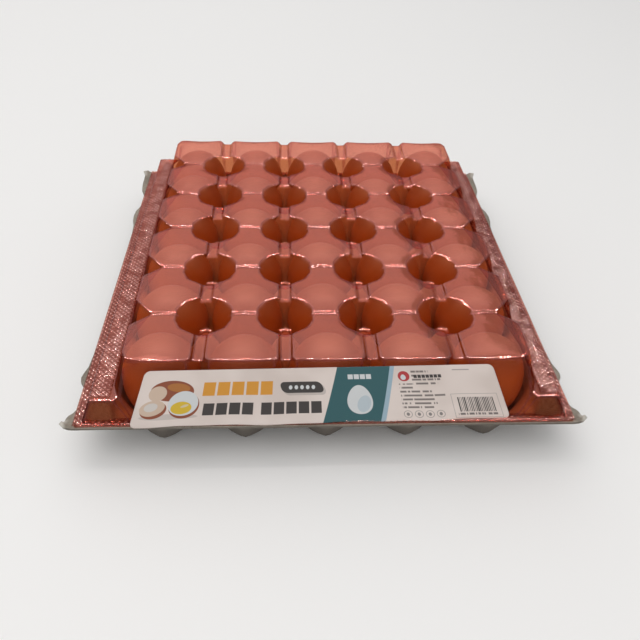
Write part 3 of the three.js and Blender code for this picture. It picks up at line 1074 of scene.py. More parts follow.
@dataclass(frozen=True)
class FilmFinish:
    """Clear pink-tinted film: what is behind it shows through its tint, and it mirrors bright things.

    It tints the least where it lies on the crown of an egg. The pits tint the most deep down, as painted
    shade. Where the sheet bends sharply its tint is painted: darker on the cover's folds as painted shade,
    lighter on the knurl's tips as a painted highlight, and it mirrors more there. How sharply it bends
    comes from the attribute fold, in radians. Each span gives where a mask is 0 and where it is 1.
    """

    name: str = "tinted_film"
    tint: Colour = (0.905, 0.735, 0.69)
    touch_tint: Colour = (0.962, 0.80, 0.75)
    wall_tint: Colour = (0.86, 0.65, 0.55)
    # painted shade: the film deep in the pits is tinted more
    pit_shade_tint: Colour = (0.90, 0.67, 0.52)
    # painted light and shade where the sheet bends sharply: darker on the cover's folds, lighter on the
    # knurl's tips
    painted_fold_tint: Colour = (0.60, 0.27, 0.25)
    painted_fold_share: float = 0.5
    gloss: Colour = (1.0, 0.43, 0.38)
    fold_gloss: Colour = (1.0, 0.54, 0.50)
    grazing: Colour = (0.62, 0.30, 0.31)
    mirror: float = 0.13
    most_mirror: float = 0.9
    steep: float = 0.05
    fold_mirror: float = 0.03
    pits_x: Span = (0.115, 0.114)
    pits_y: Span = (0.138, 0.137)
    pit_z: Span = (0.0618, 0.0602)
    pitch: float = 0.048
    touch: Span = (0.0201, 0.0029)
    level: Span = (0.66, 0.8)
    sharp: Span = (0.07, 0.15)
    roughness: float = 0.10
    ripple: float = 0.0009
    crinkle: float = 0.6

    def build(self) -> Material:
        """Makes the material.

        Returns:
            The material.
        """
        material, graph = new_material(self.name)
        place = graph.coordinates("Object")
        x, y, z = graph.split(place)
        between = abs(x).rise(*self.pits_x) * abs(y).rise(*self.pits_y)
        # where the pits' painted shade goes
        pit = between * z.rise(*self.pit_z)
        off_x = (x / self.pitch * 2.0).zigzag()  # 0 in the middle of a column, 1 between two
        off_y = (y / self.pitch * 2.0 + 1.0).zigzag()
        radius = (off_x * off_x + off_y * off_y) ** 0.5 * (self.pitch / 2)
        fold = graph.attribute("fold").rise(*self.sharp) * (1.0 - pit)
        level = abs(graph.split(graph.coordinates("Normal"))[2]).rise(*self.level)
        crinkles = fold * graph.noise(place, 330) * self.crinkle
        height = graph.noise(place, 75) * 0.8 + graph.noise(place, 420) * 0.08 + crinkles
        normal = graph.bump(height, self.ripple, 0.4)
        clear = graph.socket("ShaderNodeBsdfTransparent", {"Color": self.tint})
        for part, tint in (
            (between * radius.rise(*self.touch), self.touch_tint),
            (1.0 - level, self.wall_tint),
            # painted shade deep in the pits
            (pit, self.pit_shade_tint),
            # painted light and shade at sharp bends
            (fold * self.painted_fold_share, self.painted_fold_tint),
        ):
            film = graph.socket("ShaderNodeBsdfTransparent", {"Color": tint})
            clear = graph.socket("ShaderNodeMixShader", {0: part, 1: clear, 2: film})
        glossy = graph.socket("ShaderNodeBsdfPrincipled", {
            "Base Color": graph.colour(fold, self.gloss, self.fold_gloss),
            "Metallic": 0.9,
            "Roughness": self.roughness,
            "Specular Tint": self.grazing,
            "Normal": normal,
        })
        aslant = graph.value("ShaderNodeLayerWeight", {"Blend": 0.5, "Normal": normal}, output="Facing")
        facing = aslant ** 5.0 * (1.0 - self.mirror) + self.mirror
        mirrored = facing * (level * (1.0 - self.steep) + self.steep) + fold * self.fold_mirror
        share = mirrored.at_most(self.most_mirror)
        graph.surface(graph.socket("ShaderNodeMixShader", {0: share, 1: clear, 2: glossy}))
        return material


# the knurl's own tint, darkened as painted shade for the valleys between its pyramids
KNURL_TINT_AND_VALLEY_SHADE: Colour = (0.79, 0.66, 0.62)


@dataclass
class FilmCover:
    """The formed cover: plates over the eggs, pits, channels, grooves, walls, ledges and a knurled rim.

    Lengths are in millimetres. Those of a cell are measured from its middle, and those of a pit's rim and
    throat from the middle of the pit.
    """

    layout: Layout
    finish: FilmFinish = FilmFinish()
    knurl_finish: FilmFinish = FilmFinish(
        name="knurled_film",
        tint=KNURL_TINT_AND_VALLEY_SHADE,
        wall_tint=KNURL_TINT_AND_VALLEY_SHADE,
        pit_shade_tint=KNURL_TINT_AND_VALLEY_SHADE,
        # painted highlight: the pyramids' tips are lighter
        painted_fold_tint=(1.0, 0.94, 0.92),
        painted_fold_share=1.0,
        gloss=(1.0, 0.50, 0.45),
        fold_gloss=(1.0, 0.74, 0.70),
        mirror=0.06,
        steep=0.4,
        fold_mirror=0.13,
        roughness=0.16,
    )
    sheet: FormedSheet = FormedSheet(
        "film_cover", wall=0.35, bevel=1.0, segments=2, coarse=(0.35, 22.0), fine=(0.12, 85.0), seed=5
    )
    deck: float = 64.0
    flange: float = 26.7
    ledge: float = 42.0
    edge_x: float = 143.0
    edge_y: float = 151.6
    crown: Span = (12.0, 8.0)
    plate_drop: float = 0.7
    plate_sag: float = 1.6
    channel_half: float = 4.0
    channel_floor_half: float = 2.8
    channel_depth: float = 2.6
    channel_lead: float = 0.3
    groove_half: float = 1.2
    groove_depth: float = 2.0
    groove_taper: float = 0.5
    pit_rim: tuple[Span, ...] = ((4.0, 18.9), (12.4, 13.6), (16.3, 6.0))
    pit_rim_drop: float = 1.3
    pit_throat: tuple[Span, ...] = ((3.6, 16.2), (10.2, 11.6), (14.0, 4.8))
    pit_throat_drop: float = 4.0
    pit_back: float = 0.82
    pit_depth: float = 17.2
    pit_floor: float = 4.2
    pit_floor_corner: float = 3.0
    deck_edge: float = 17.5
    notch_half: float = 12.0
    wall_foot_x: float = 23.6
    wall_foot_y: float = 27.5
    step_inner: float = 22.6
    step_outer: float = 36.5
    step_foot: float = 41.6
    step_end: float = 26.5
    step_foot_end: float = 29.0
    lip: float = 2.0
    round_corner: float = 7.0
    side_foot_y: float = 15.0
    corner_foot: Span = (20.5, 23.5)
    front_foot_x: float = 13.5
    end_foot_x: float = 14.2
    rim_cut: float = 2.0
    knurl_pitch: float = 3.6
    knurl_height: float = 1.1
    knurl_wall: float = 0.21
    knurl_lift: float = 0.45  # above the cover, so that its ripples stay below
    flange_knurl: float = 5.6
    flange_inset: float = 0.3
    side_gap: float = 0.6
    ledge_gap: float = 2.5
    ledge_margin: float = 0.8
    ledge_shift: float = 0.2

    def draw_cell(self, pen: Pen, quarter: Quarter) -> None:
        """Draws a quarter of the cover over one egg.

        Args:
            pen: Adds a face.
            quarter: Which one it is.
        """
        half = self.layout.half
        sunk = self.deck - self.plate_drop
        plate_x = (self.deck_edge, 0, self.deck) if quarter.outer_x else (half - self.channel_half, 0, sunk)
        plate_y = (0, half - self.groove_half, sunk)
        if quarter.outer_y:
            plate_y = (0, self.deck_edge, self.deck - self.plate_sag)
        if quarter.outer_x and quarter.outer_y:
            self.draw_corner(pen, plate_x, plate_y)
        elif quarter.outer_x:
            self.draw_side(pen, plate_x, plate_y)
        elif quarter.outer_y:
            self.draw_front(pen, plate_x, plate_y)
        else:
            self.draw_inside(pen, plate_x, plate_y, self.pit_back if quarter.turn_y < 0 else 1.0)

    def draw_plate(self, pen: Pen, *edge: Point) -> None:
        """Draws a quarter of a plate, level at its crown and falling from there to its edge.

        Args:
            pen: Adds a face.
            edge: The plate's edge from the middle of its side to the middle of its end.
        """
        reach, corner = self.crown
        crown_x = (reach, 0, self.deck)
        crown_xy = (corner, corner, self.deck)
        crown_y = (0, reach, self.deck)
        pen((0, 0, self.deck), crown_x, crown_xy, crown_y)
        pen(crown_x, edge[0], edge[1], crown_xy)
        for first, second in zip(edge[1:-3], edge[2:-2]):
            pen(crown_xy, first, second)
        pen(crown_xy, edge[-3], crown_y)
        pen(crown_y, edge[-3], edge[-2], edge[-1])

    def draw_groove(self, pen: Pen, plate_y: Point) -> tuple[Point, Point]:
        """Draws the groove between two rows.

        Args:
            pen: Adds a face.
            plate_y: The middle of the plate's edge at the groove.

        Returns:
            The groove's end on the plate's edge and at its bottom.
        """
        half = self.layout.half
        bottom = self.deck - self.groove_depth
        reach = half - self.pit_rim[-1][0]
        end = (reach, half - self.groove_half, self.deck - self.pit_rim_drop)
        floor_end = (reach - self.groove_taper, half, bottom - self.plate_drop)
        pen(plate_y, end, floor_end, (0, half, bottom))
        return end, floor_end

    def draw_channel(self, pen: Pen, plate_x: Point, end: Point) -> tuple[Point, Point]:
        """Draws the channel between two columns.

        Args:
            pen: Adds a face.
            plate_x: The middle of the plate's edge at the channel.
            end: Where that edge ends.

        Returns:
            The end of the channel's floor, at its edge and in its middle.
        """
        half = self.layout.half
        floor = half - self.channel_floor_half
        bottom = self.deck - self.channel_depth
        floor_end = (floor, end[1] + self.channel_lead, bottom)
        middle_end = (half, floor_end[1], bottom)
        pen(plate_x, (floor, 0, bottom), floor_end, end)
        pen((floor, 0, bottom), (half, 0, bottom), middle_end, floor_end)
        return floor_end, middle_end

    def draw_inside(self, pen: Pen, plate_x: Point, plate_y: Point, reach: float) -> None:
        """Draws a quarter between four eggs, with a quarter of a pit.

        Args:
            pen: Adds a face.
            plate_x: The middle of the plate's edge at the channel.
            plate_y: The middle of its edge at the groove.
            reach: How far the pit's mouth reaches along the channel, as a share of its full reach.
        """
        half = self.layout.half
        bottom = self.deck - self.pit_depth
        rim_z = self.deck - self.pit_rim_drop
        throat_z = self.deck - self.pit_throat_drop
        mouth, bulge, flare = ((half - x, half - y * reach, rim_z) for x, y in self.pit_rim)
        low_mouth, low_bulge, low_flare = ((half - x, half - y * reach, throat_z) for x, y in self.pit_throat)
        low_channel = (half, low_mouth[1], throat_z)
        low_groove = (low_flare[0], half, throat_z)
        floor_x = (half - self.pit_floor, half, bottom)
        floor_xy = (half - self.pit_floor_corner, half - self.pit_floor_corner, bottom)
        floor_y = (half, half - self.pit_floor, bottom)
        groove_end, groove_floor = self.draw_groove(pen, plate_y)
        tongue, tongue_middle = self.draw_channel(pen, plate_x, mouth)
        self.draw_plate(pen, plate_x, mouth, bulge, flare, groove_end, plate_y)
        pen(mouth, tongue, low_mouth)
        pen(tongue, tongue_middle, low_channel, low_mouth)
        pen(bulge, mouth, low_mouth, low_bulge)
        pen(flare, bulge, low_bulge, low_flare)
        pen(groove_end, flare, low_flare, low_groove)
        pen(groove_end, low_groove, groove_floor)
        pen(low_groove, low_flare, floor_xy, floor_x)
        pen(low_flare, low_bulge, floor_xy)
        pen(low_bulge, low_mouth, floor_y, floor_xy)
        pen(low_mouth, low_channel, floor_y)
        pen(floor_x, floor_xy, floor_y, (half, half, bottom))

    def draw_side(self, pen: Pen, plate_x: Point, plate_y: Point) -> None:
        """Draws a quarter at the left or right side, with its notch, wall and ledge.

        Args:
            pen: Adds a face.
            plate_x: The middle of the plate's edge at the wall.
            plate_y: The middle of its edge at the groove.
        """
        half = self.layout.half
        notch = (self.deck_edge, half - self.notch_half, self.deck)
        foot = (self.wall_foot_x, half - self.notch_half / 2, self.ledge)
        foot_middle = (self.wall_foot_x, half, self.ledge)
        groove_end, groove_floor = self.draw_groove(pen, plate_y)
        self.draw_plate(pen, plate_x, notch, groove_end, plate_y)
        pen(plate_x, (self.wall_foot_x, 0, self.ledge), foot, notch)
        pen(groove_end, notch, foot)
        pen(groove_end, foot, foot_middle, groove_floor)
        self.draw_ledge(pen, 0, foot[1])
        self.draw_ledge(pen, foot[1], half)

    def draw_ledge(self, pen: Pen, start: float, end: float) -> None:
        """Draws a stretch of the side ledge, its outer slope and the rim.

        Args:
            pen: Adds a face.
            start: Where the stretch starts along the side.
            end: Where it ends.
        """
        rim_x = self.edge_x - self.layout.side_x
        profile = [
            (self.wall_foot_x, self.ledge),
            (self.step_outer, self.ledge),
            (self.step_foot, self.flange),
            (rim_x, self.flange),
        ]
        for (x0, z0), (x1, z1) in zip(profile, profile[1:]):
            pen((x0, start, z0), (x1, start, z1), (x1, end, z1), (x0, end, z0))

    def draw_front(self, pen: Pen, plate_x: Point, plate_y: Point) -> None:
        """Draws a quarter at the front or the back, with its wall and the end of a channel.

        Args:
            pen: Adds a face.
            plate_x: The middle of the plate's edge at the channel.
            plate_y: The middle of its edge at the wall.
        """
        half = self.layout.half
        rim_y = self.edge_y - self.layout.front_y
        top = half - self.channel_half
        floor = half - self.channel_floor_half
        corner = (top, self.deck_edge - self.lip, self.deck - self.plate_drop)
        corner_edge = (top - self.lip, self.deck_edge, self.deck)
        feet = [(x, self.wall_foot_y, self.flange) for x in (0, top - self.lip, floor, half)]
        drop, drop_middle = self.draw_channel(pen, plate_x, corner)
        self.draw_plate(pen, plate_x, corner, corner_edge, plate_y)
        pen(plate_y, corner_edge, feet[1], feet[0])
        pen(corner_edge, corner, drop, feet[2], feet[1])
        pen(drop, drop_middle, feet[3], feet[2])
        for first, second in zip(feet, feet[1:]):
            pen(first, second, (second[0], rim_y, self.flange), (first[0], rim_y, self.flange))

    def draw_corner(self, pen: Pen, plate_x: Point, plate_y: Point) -> None:
        """Draws a quarter at a corner of the pack, with the round wall and the end of the ledge.

        Args:
            pen: Adds a face.
            plate_x: The middle of the plate's edge at the side wall.
            plate_y: The middle of its edge at the front wall.
        """
        edge, deck, ledge, flange = self.deck_edge, self.deck, self.ledge, self.flange
        foot_x, foot_y, slope_x = self.wall_foot_x, self.wall_foot_y, self.step_foot
        side_y, end_y = self.side_foot_y, self.step_foot_end
        rim_x = self.edge_x - self.layout.side_x
        rim_y = self.edge_y - self.layout.front_y
        inset = self.round_corner * (1 - math.sqrt(0.5))
        side_round = (edge, edge - self.round_corner, deck)
        mid_round = (edge - inset, edge - inset, deck)
        front_round = (edge - self.round_corner, edge, deck)
        side_foot = (foot_x, side_y, ledge)
        corner_foot = (*self.corner_foot, ledge)
        front_foot = (self.front_foot_x, foot_y, flange)
        end_inner = (self.step_inner, self.step_end, ledge)
        end_outer = (self.step_outer, self.step_end, ledge)
        end_foot = (self.end_foot_x, end_y, flange)
        outer_foot = (slope_x, end_y, flange)
        ledge_side = (self.step_outer, side_y, ledge)
        slope_side = (slope_x, side_y, flange)
        rim_corner = (rim_x - self.rim_cut, rim_y, flange)
        rim_slope = (slope_x - self.rim_cut, rim_y, flange)
        rim_end = (self.end_foot_x, rim_y, flange)
        self.draw_plate(pen, plate_x, side_round, mid_round, front_round, plate_y)
        pen(plate_x, (foot_x, 0, ledge), side_foot, side_round)
        pen(side_round, side_foot, corner_foot, mid_round)
        pen(mid_round, corner_foot, front_foot, front_round)
        pen(plate_y, front_round, front_foot, (0, foot_y, flange))
        self.draw_ledge(pen, 0, side_y)
        pen(side_foot, ledge_side, end_outer, end_inner, corner_foot)
        pen(corner_foot, end_inner, end_foot, front_foot)
        pen(end_inner, end_outer, outer_foot, end_foot)
        pen(ledge_side, slope_side, outer_foot, end_outer)
        pen(slope_side, (rim_x, side_y, flange), (rim_x, end_y, flange), outer_foot)
        pen(outer_foot, (rim_x, end_y, flange), rim_corner, rim_slope)
        pen(outer_foot, rim_slope, rim_end, end_foot)
        pen(front_foot, end_foot, rim_end, (0, rim_y, flange), (0, foot_y, flange))

    def build_film(self) -> None:
        """Makes the cover itself."""
        cage = Cage()
        for quarter in self.layout.quarters():
            self.draw_cell(cage.pen(quarter), quarter)
        hand_over(self.sheet.build(cage, self.finish.build()), "film", "cover")

    def knurl_tree(self, material: Material) -> ShapeTree:
        """Makes the tree that presses a strip of film into rows of small pyramids, with fold at their tips.

        Args:
            material: The film.

        Returns:
            The tree, with inputs Length, Width, Pitch, Height and Seed.
        """
        shape = ShapeTree("knurled_strip")
        graph = shape.graph
        length, width, pitch, height = (shape.number(name) for name in ("Length", "Width", "Pitch", "Height"))
        steps = 4.0  # grid lines in each pitch
        grid = graph.socket("GeometryNodeMeshGrid", {
            "Size X": length,
            "Size Y": width,
            "Vertices X": (length / pitch * steps).floor() + 1.0,
            "Vertices Y": (width / pitch * steps).floor() + 1.0,
        })
        x, y, _ = graph.split(shape.position)
        first = ((x + y) / pitch * 2.0).zigzag()
        second = ((x - y) / pitch * 2.0).zigzag()
        uneven = shape.noise(shape.number("Seed", whole=True), 160.0).rise(0.25, 0.7) * 0.9 + 0.4
        peak = first.at_most(second) * uneven
        edge_y = 1.0 - (abs(y) / (width * 0.5)) ** 6.0
        # marks the pyramids' tips, where the knurl's film paints a highlight
        tips = peak.rise(0.0, 0.6) * self.knurl_finish.sharp[1]
        pressed = shape.press(grid, tips, graph.vector(0.0, 0.0, peak * height * edge_y))
        shape.finish(pressed, material)
        return shape

    def build_knurl(self) -> None:
        """Makes the knurled strips on the rim and on the ledges as one piece."""
        tree = self.knurl_tree(self.knurl_finish.build())
        layout = self.layout
        wide = self.flange_knurl
        flange_x = self.edge_x - wide / 2 - self.flange_inset
        flange_y = self.edge_y - wide / 2 - self.flange_inset
        side_long = 2 * (self.edge_y - self.side_gap)
        front_long = 2 * flange_x - wide
        ledge_long = 2 * (layout.front_y + self.step_end - self.ledge_gap)
        ledge_wide = self.step_outer - self.wall_foot_x - 2 * self.ledge_margin
        ledge_x = layout.side_x + (self.wall_foot_x + self.step_outer) / 2 + self.ledge_shift
        strips = (
            (side_long, wide, (flange_x, 0, self.flange), 90),
            (side_long, wide, (-flange_x, 0, self.flange), -90),
            (front_long, wide, (0, -flange_y, self.flange), 0),
            (front_long, wide, (0, flange_y, self.flange), 180),
            (ledge_long, ledge_wide, (ledge_x, 0, self.ledge), 90),
            (ledge_long, ledge_wide, (-ledge_x, 0, self.ledge), -90),
        )
        parts = []
        for seed, (length, width, (x, y, z), turn) in enumerate(strips):
            part = new_piece("strip", bpy.data.meshes.new("strip"))
            tree.add_to(
                part,
                Length=length * MM,
                Width=width * MM,
                Pitch=self.knurl_pitch * MM,
                Height=self.knurl_height * MM,
                Seed=seed,
            )
            thicken(part, self.knurl_wall)
            apply_modifiers(part)
            lifted = Matrix.Translation((x * MM, y * MM, (z + self.knurl_lift) * MM))
            part.data.transform(lifted @ Matrix.Rotation(math.radians(turn), 4, "Z"))
            parts.append(part)
        hand_over(join_meshes("film_knurl", parts), "film")

    def build(self) -> None:
        """Makes the cover and its knurl."""
        self.build_film()
        self.build_knurl()


# --- Label ---


class Ink(Enum):
    """The label's printed colours."""

    ORANGE = (0.62, 0.27, 0.02)
    BLACK = (0.035, 0.028, 0.026)
    GREY = (0.22, 0.20, 0.19)
    TEAL = (0.015, 0.092, 0.105)
    PALE_BLUE = (0.30, 0.42, 0.50)
    WHITE = (0.60, 0.62, 0.63)
    BROWN = (0.24, 0.055, 0.018)
    RED = (0.42, 0.03, 0.035)
    CREAM = (0.58, 0.44, 0.34)
    YOLK = (0.62, 0.42, 0.02)


@dataclass
class Print:
    """Draws generic shapes on the label. Places are in millimetres from its top left corner."""

    graph: Graph
    x: Value
    y: Value
    colour: Any
    edge: float = 0.09

    def paint(self, distance: Value, ink: Ink, strength: float = 1.0) -> None:
        """Adds ink where a distance is below 0.

        Args:
            distance: How far a place is outside the shape, in millimetres.
            ink: The colour.
            strength: How much it covers.
        """
        mask = distance.rise(self.edge, -self.edge) * strength
        self.colour = self.graph.colour(mask, self.colour, ink.value)

    def bar(
        self,
        left: float,
        top: float,
        right: float,
        bottom: float,
        corner: float = 0.0,
        slant: float = 0.0,
    ) -> Value:
        """The distance from a bar with round corners.

        Args:
            left: Its left end.
            top: Its top.
            right: Its right end.
            bottom: Its bottom.
            corner: The radius of its corners.
            slant: How far it leans to the left for each millimetre down.

        Returns:
            The distance.
        """
        middle_y = (top + bottom) / 2
        leaning = self.x + (self.y - middle_y) * slant if slant else self.x
        over_x = abs(leaning - (left + right) / 2) - ((right - left) / 2 - corner)
        over_y = abs(self.y - middle_y) - ((bottom - top) / 2 - corner)
        if not corner:
            return over_x.at_least(over_y)
        return (over_x.at_least(0.0) ** 2 + over_y.at_least(0.0) ** 2) ** 0.5 - corner

    def blocks(self, left: float, top: float, right: float, bottom: float, count: int) -> Value:
        """The distance from a row of equal blocks.

        Args:
            left: The row's left end.
            top: Its top.
            right: Its right end.
            bottom: Its bottom.
            count: How many blocks there are.

        Returns:
            The distance.
        """
        step = (right - left) / count
        along = (self.x - left) / step
        sides = abs(along - along.floor() - 0.5) * step - step * 0.42
        return sides.at_least(self.bar(left, top, right, bottom))

    def oval(
        self,
        x: float,
        y: float,
        half_x: float,
        half_y: float,
        lean: float = 0.0,
        taper: float = 0.0,
    ) -> Value:
        """The rough distance from an oval or an egg shape.

        Args:
            x: Its middle.
            y: Its middle.
            half_x: Half its width.
            half_y: Half its height.
            lean: Its turn in degrees.
            taper: How much narrower it is at its top.

        Returns:
            The distance.
        """
        turn = math.radians(lean)
        dx, dy = self.x - x, self.y - y
        along = dx * math.cos(turn) + dy * math.sin(turn)
        down = dy * math.cos(turn) - dx * math.sin(turn)
        if taper:
            along = along / (1.0 + down * (taper / half_y))
        return (((along / half_x) ** 2 + (down / half_y) ** 2) ** 0.5 - 1.0) * min(half_x, half_y)


@dataclass(frozen=True)
class LabelFinish:
    """Satin white paper with generic print: eggs, bars for words, a slanted panel and a bar code."""

    paper: Colour = (0.72, 0.63, 0.585)
    shade: Colour = (0.62, 0.53, 0.485)
    roughness: float = 0.38
    width: float = 203.0
    height: float = 35.0

    def draw_eggs(self, sheet: Print) -> None:
        """Draws three eggs and a yolk at the left.

        Args:
            sheet: The print.
        """
        for x, y, half_x, half_y, lean, ink, strength in (
            (19.0, 28.8, 15.5, 1.8, 0, Ink.GREY, 0.35),
            (18.3, 12.6, 12.0, 6.4, 4, Ink.BROWN, 1.0),
            (21.5, 10.6, 6.5, 2.6, 8, Ink.ORANGE, 0.35),
            (10.6, 14.0, 4.9, 4.6, 0, Ink.CREAM, 1.0),
            (26.2, 21.8, 8.2, 8.4, 0, Ink.BROWN, 1.0),
            (25.6, 20.6, 8.1, 7.8, 0, Ink.WHITE, 1.0),
            (24.9, 23.4, 5.6, 4.0, 0, Ink.YOLK, 1.0),
            (26.6, 22.2, 2.2, 0.8, -20, Ink.WHITE, 0.5),
            (10.2, 24.2, 7.0, 5.4, -6, Ink.BROWN, 1.0),
            (9.4, 23.0, 6.7, 4.8, -12, Ink.CREAM, 1.0),
            (8.6, 22.4, 3.6, 2.6, -12, Ink.WHITE, 0.6),
        ):
            sheet.paint(sheet.oval(x, y, half_x, half_y, lean), ink, strength)

    def draw_words(self, sheet: Print) -> None:
        """Draws rows of blocks in the place of words.

        Args:
            sheet: The print.
        """
        sheet.paint(sheet.blocks(34.6, 7.6, 74.6, 16.0, count=5), Ink.ORANGE)
        sheet.paint(sheet.blocks(36.2, 20.8, 64.4, 28.4, count=4), Ink.BLACK)
        sheet.paint(sheet.blocks(67.6, 20.8, 101.6, 28.4, count=5), Ink.BLACK)
        sheet.paint(sheet.bar(79.6, 9.4, 103.4, 16.9, corner=3.2, slant=-0.35), Ink.GREY, 0.4)
        sheet.paint(sheet.bar(78.6, 8.4, 102.2, 15.4, corner=3.0, slant=-0.35), Ink.BLACK)
        for spot in range(5):
            sheet.paint(sheet.oval(84.0 + 3.2 * spot, 11.9, 1.0, 1.3), Ink.WHITE)

    def draw_panel(self, sheet: Print) -> None:
        """Draws the slanted panel with an egg on it.

        Args:
            sheet: The print.
        """
        slant = 0.27
        sheet.paint(sheet.bar(135.0, -2.0, 139.8, 37.0, slant=slant), Ink.PALE_BLUE)
        sheet.paint(sheet.bar(106.2, -2.0, 137.2, 37.0, slant=slant), Ink.TEAL)
        sheet.paint(sheet.oval(122.4, 20.8, 7.0, 9.4, taper=0.14), Ink.WHITE)
        sheet.paint(sheet.oval(124.6, 23.4, 3.6, 5.6, lean=20), Ink.PALE_BLUE, 0.5)
        sheet.paint(sheet.blocks(116.4, 4.6, 130.4, 7.6, count=4), Ink.WHITE)

    def draw_details(self, sheet: Print) -> None:
        """Draws a red spot, fine lines of text as dashes, four rings and a bar code at the right.

        Args:
            sheet: The print.
        """
        graph = sheet.graph
        row_height, first, dash = 2.5, 2.4, 0.7
        down = (sheet.y - first) / row_height
        row = down.floor()
        place = {"Vector": graph.vector((sheet.x / dash).floor(), row)}
        dashes = graph.value("ShaderNodeTexWhiteNoise", place, noise_dimensions="2D")
        ends = graph.value("ShaderNodeTexWhiteNoise", {"W": row}, noise_dimensions="1D")
        area = sheet.bar(145.5, first, 172.0, first + 10 * row_height)
        short = sheet.x - 153.0 - ends * 19.0
        text = (abs(down - row - 0.5) - 0.24).at_least(0.18 - dashes).at_least(area).at_least(short)
        sheet.paint(text.at_least(sheet.bar(140.0, 0.0, 153.5, 11.0) * -1.0) * 2.0, Ink.BLACK, 0.75)
        sheet.paint(sheet.oval(149.0, 6.4, 3.4, 3.2), Ink.RED)
        sheet.paint(sheet.oval(148.6, 7.0, 1.5, 1.7, taper=0.14), Ink.WHITE)
        sheet.paint(sheet.blocks(154.5, 5.6, 171.0, 7.6, count=7), Ink.BLACK)
        sheet.paint(sheet.bar(178.0, 2.6, 188.0, 3.3), Ink.GREY, 0.7)
        for ring in range(4):
            x = 147.8 + 6.0 * ring
            sheet.paint(abs(sheet.oval(x, 30.6, 2.2, 2.2)) - 0.14, Ink.GREY)
            sheet.paint(sheet.oval(x, 30.6, 0.9, 1.1), Ink.GREY)
        sheet.paint(abs(sheet.bar(173.6, 18.4, 199.6, 34.0)) - 0.12, Ink.GREY, 0.8)
        step = 0.92
        across = sheet.x / step
        stripe = across.floor()
        width = graph.value("ShaderNodeTexWhiteNoise", {"W": stripe}, noise_dimensions="1D") * 0.3 + 0.1
        sides = (abs(across - stripe - 0.5) - width) * step
        sheet.paint(sheet.bar(176.6, 20.6, 197.0, 30.2).at_least(sides), Ink.BLACK)
        sheet.paint(sheet.bar(175.4, 31.0, 197.0, 32.4).at_least((0.3 - dashes) * 4.0), Ink.BLACK, 0.8)

    def build(self) -> Material:
        """Makes the material. It reads the UV map, which runs over the label's face.

        Returns:
            The material.
        """
        material, graph = new_material("printed_label")
        place = graph.coordinates("Object")
        u, v, _ = graph.split(graph.coordinates("UV"))
        paper = graph.colour(graph.noise(place, 30).rise(0.35, 0.7), self.paper, self.shade)
        sheet = Print(graph, u * self.width, (1.0 - v) * self.height, paper)
        self.draw_eggs(sheet)
        self.draw_words(sheet)
        self.draw_panel(sheet)
        self.draw_details(sheet)
        grain = graph.noise(place, 60) + graph.noise(place, 900, detail=1) * 0.1
        graph.surface(graph.socket("ShaderNodeBsdfPrincipled", {
            "Base Color": sheet.colour,
            "Roughness": self.roughness,
            "Normal": graph.bump(grain, 0.0008, 0.25),
        }))
        return material


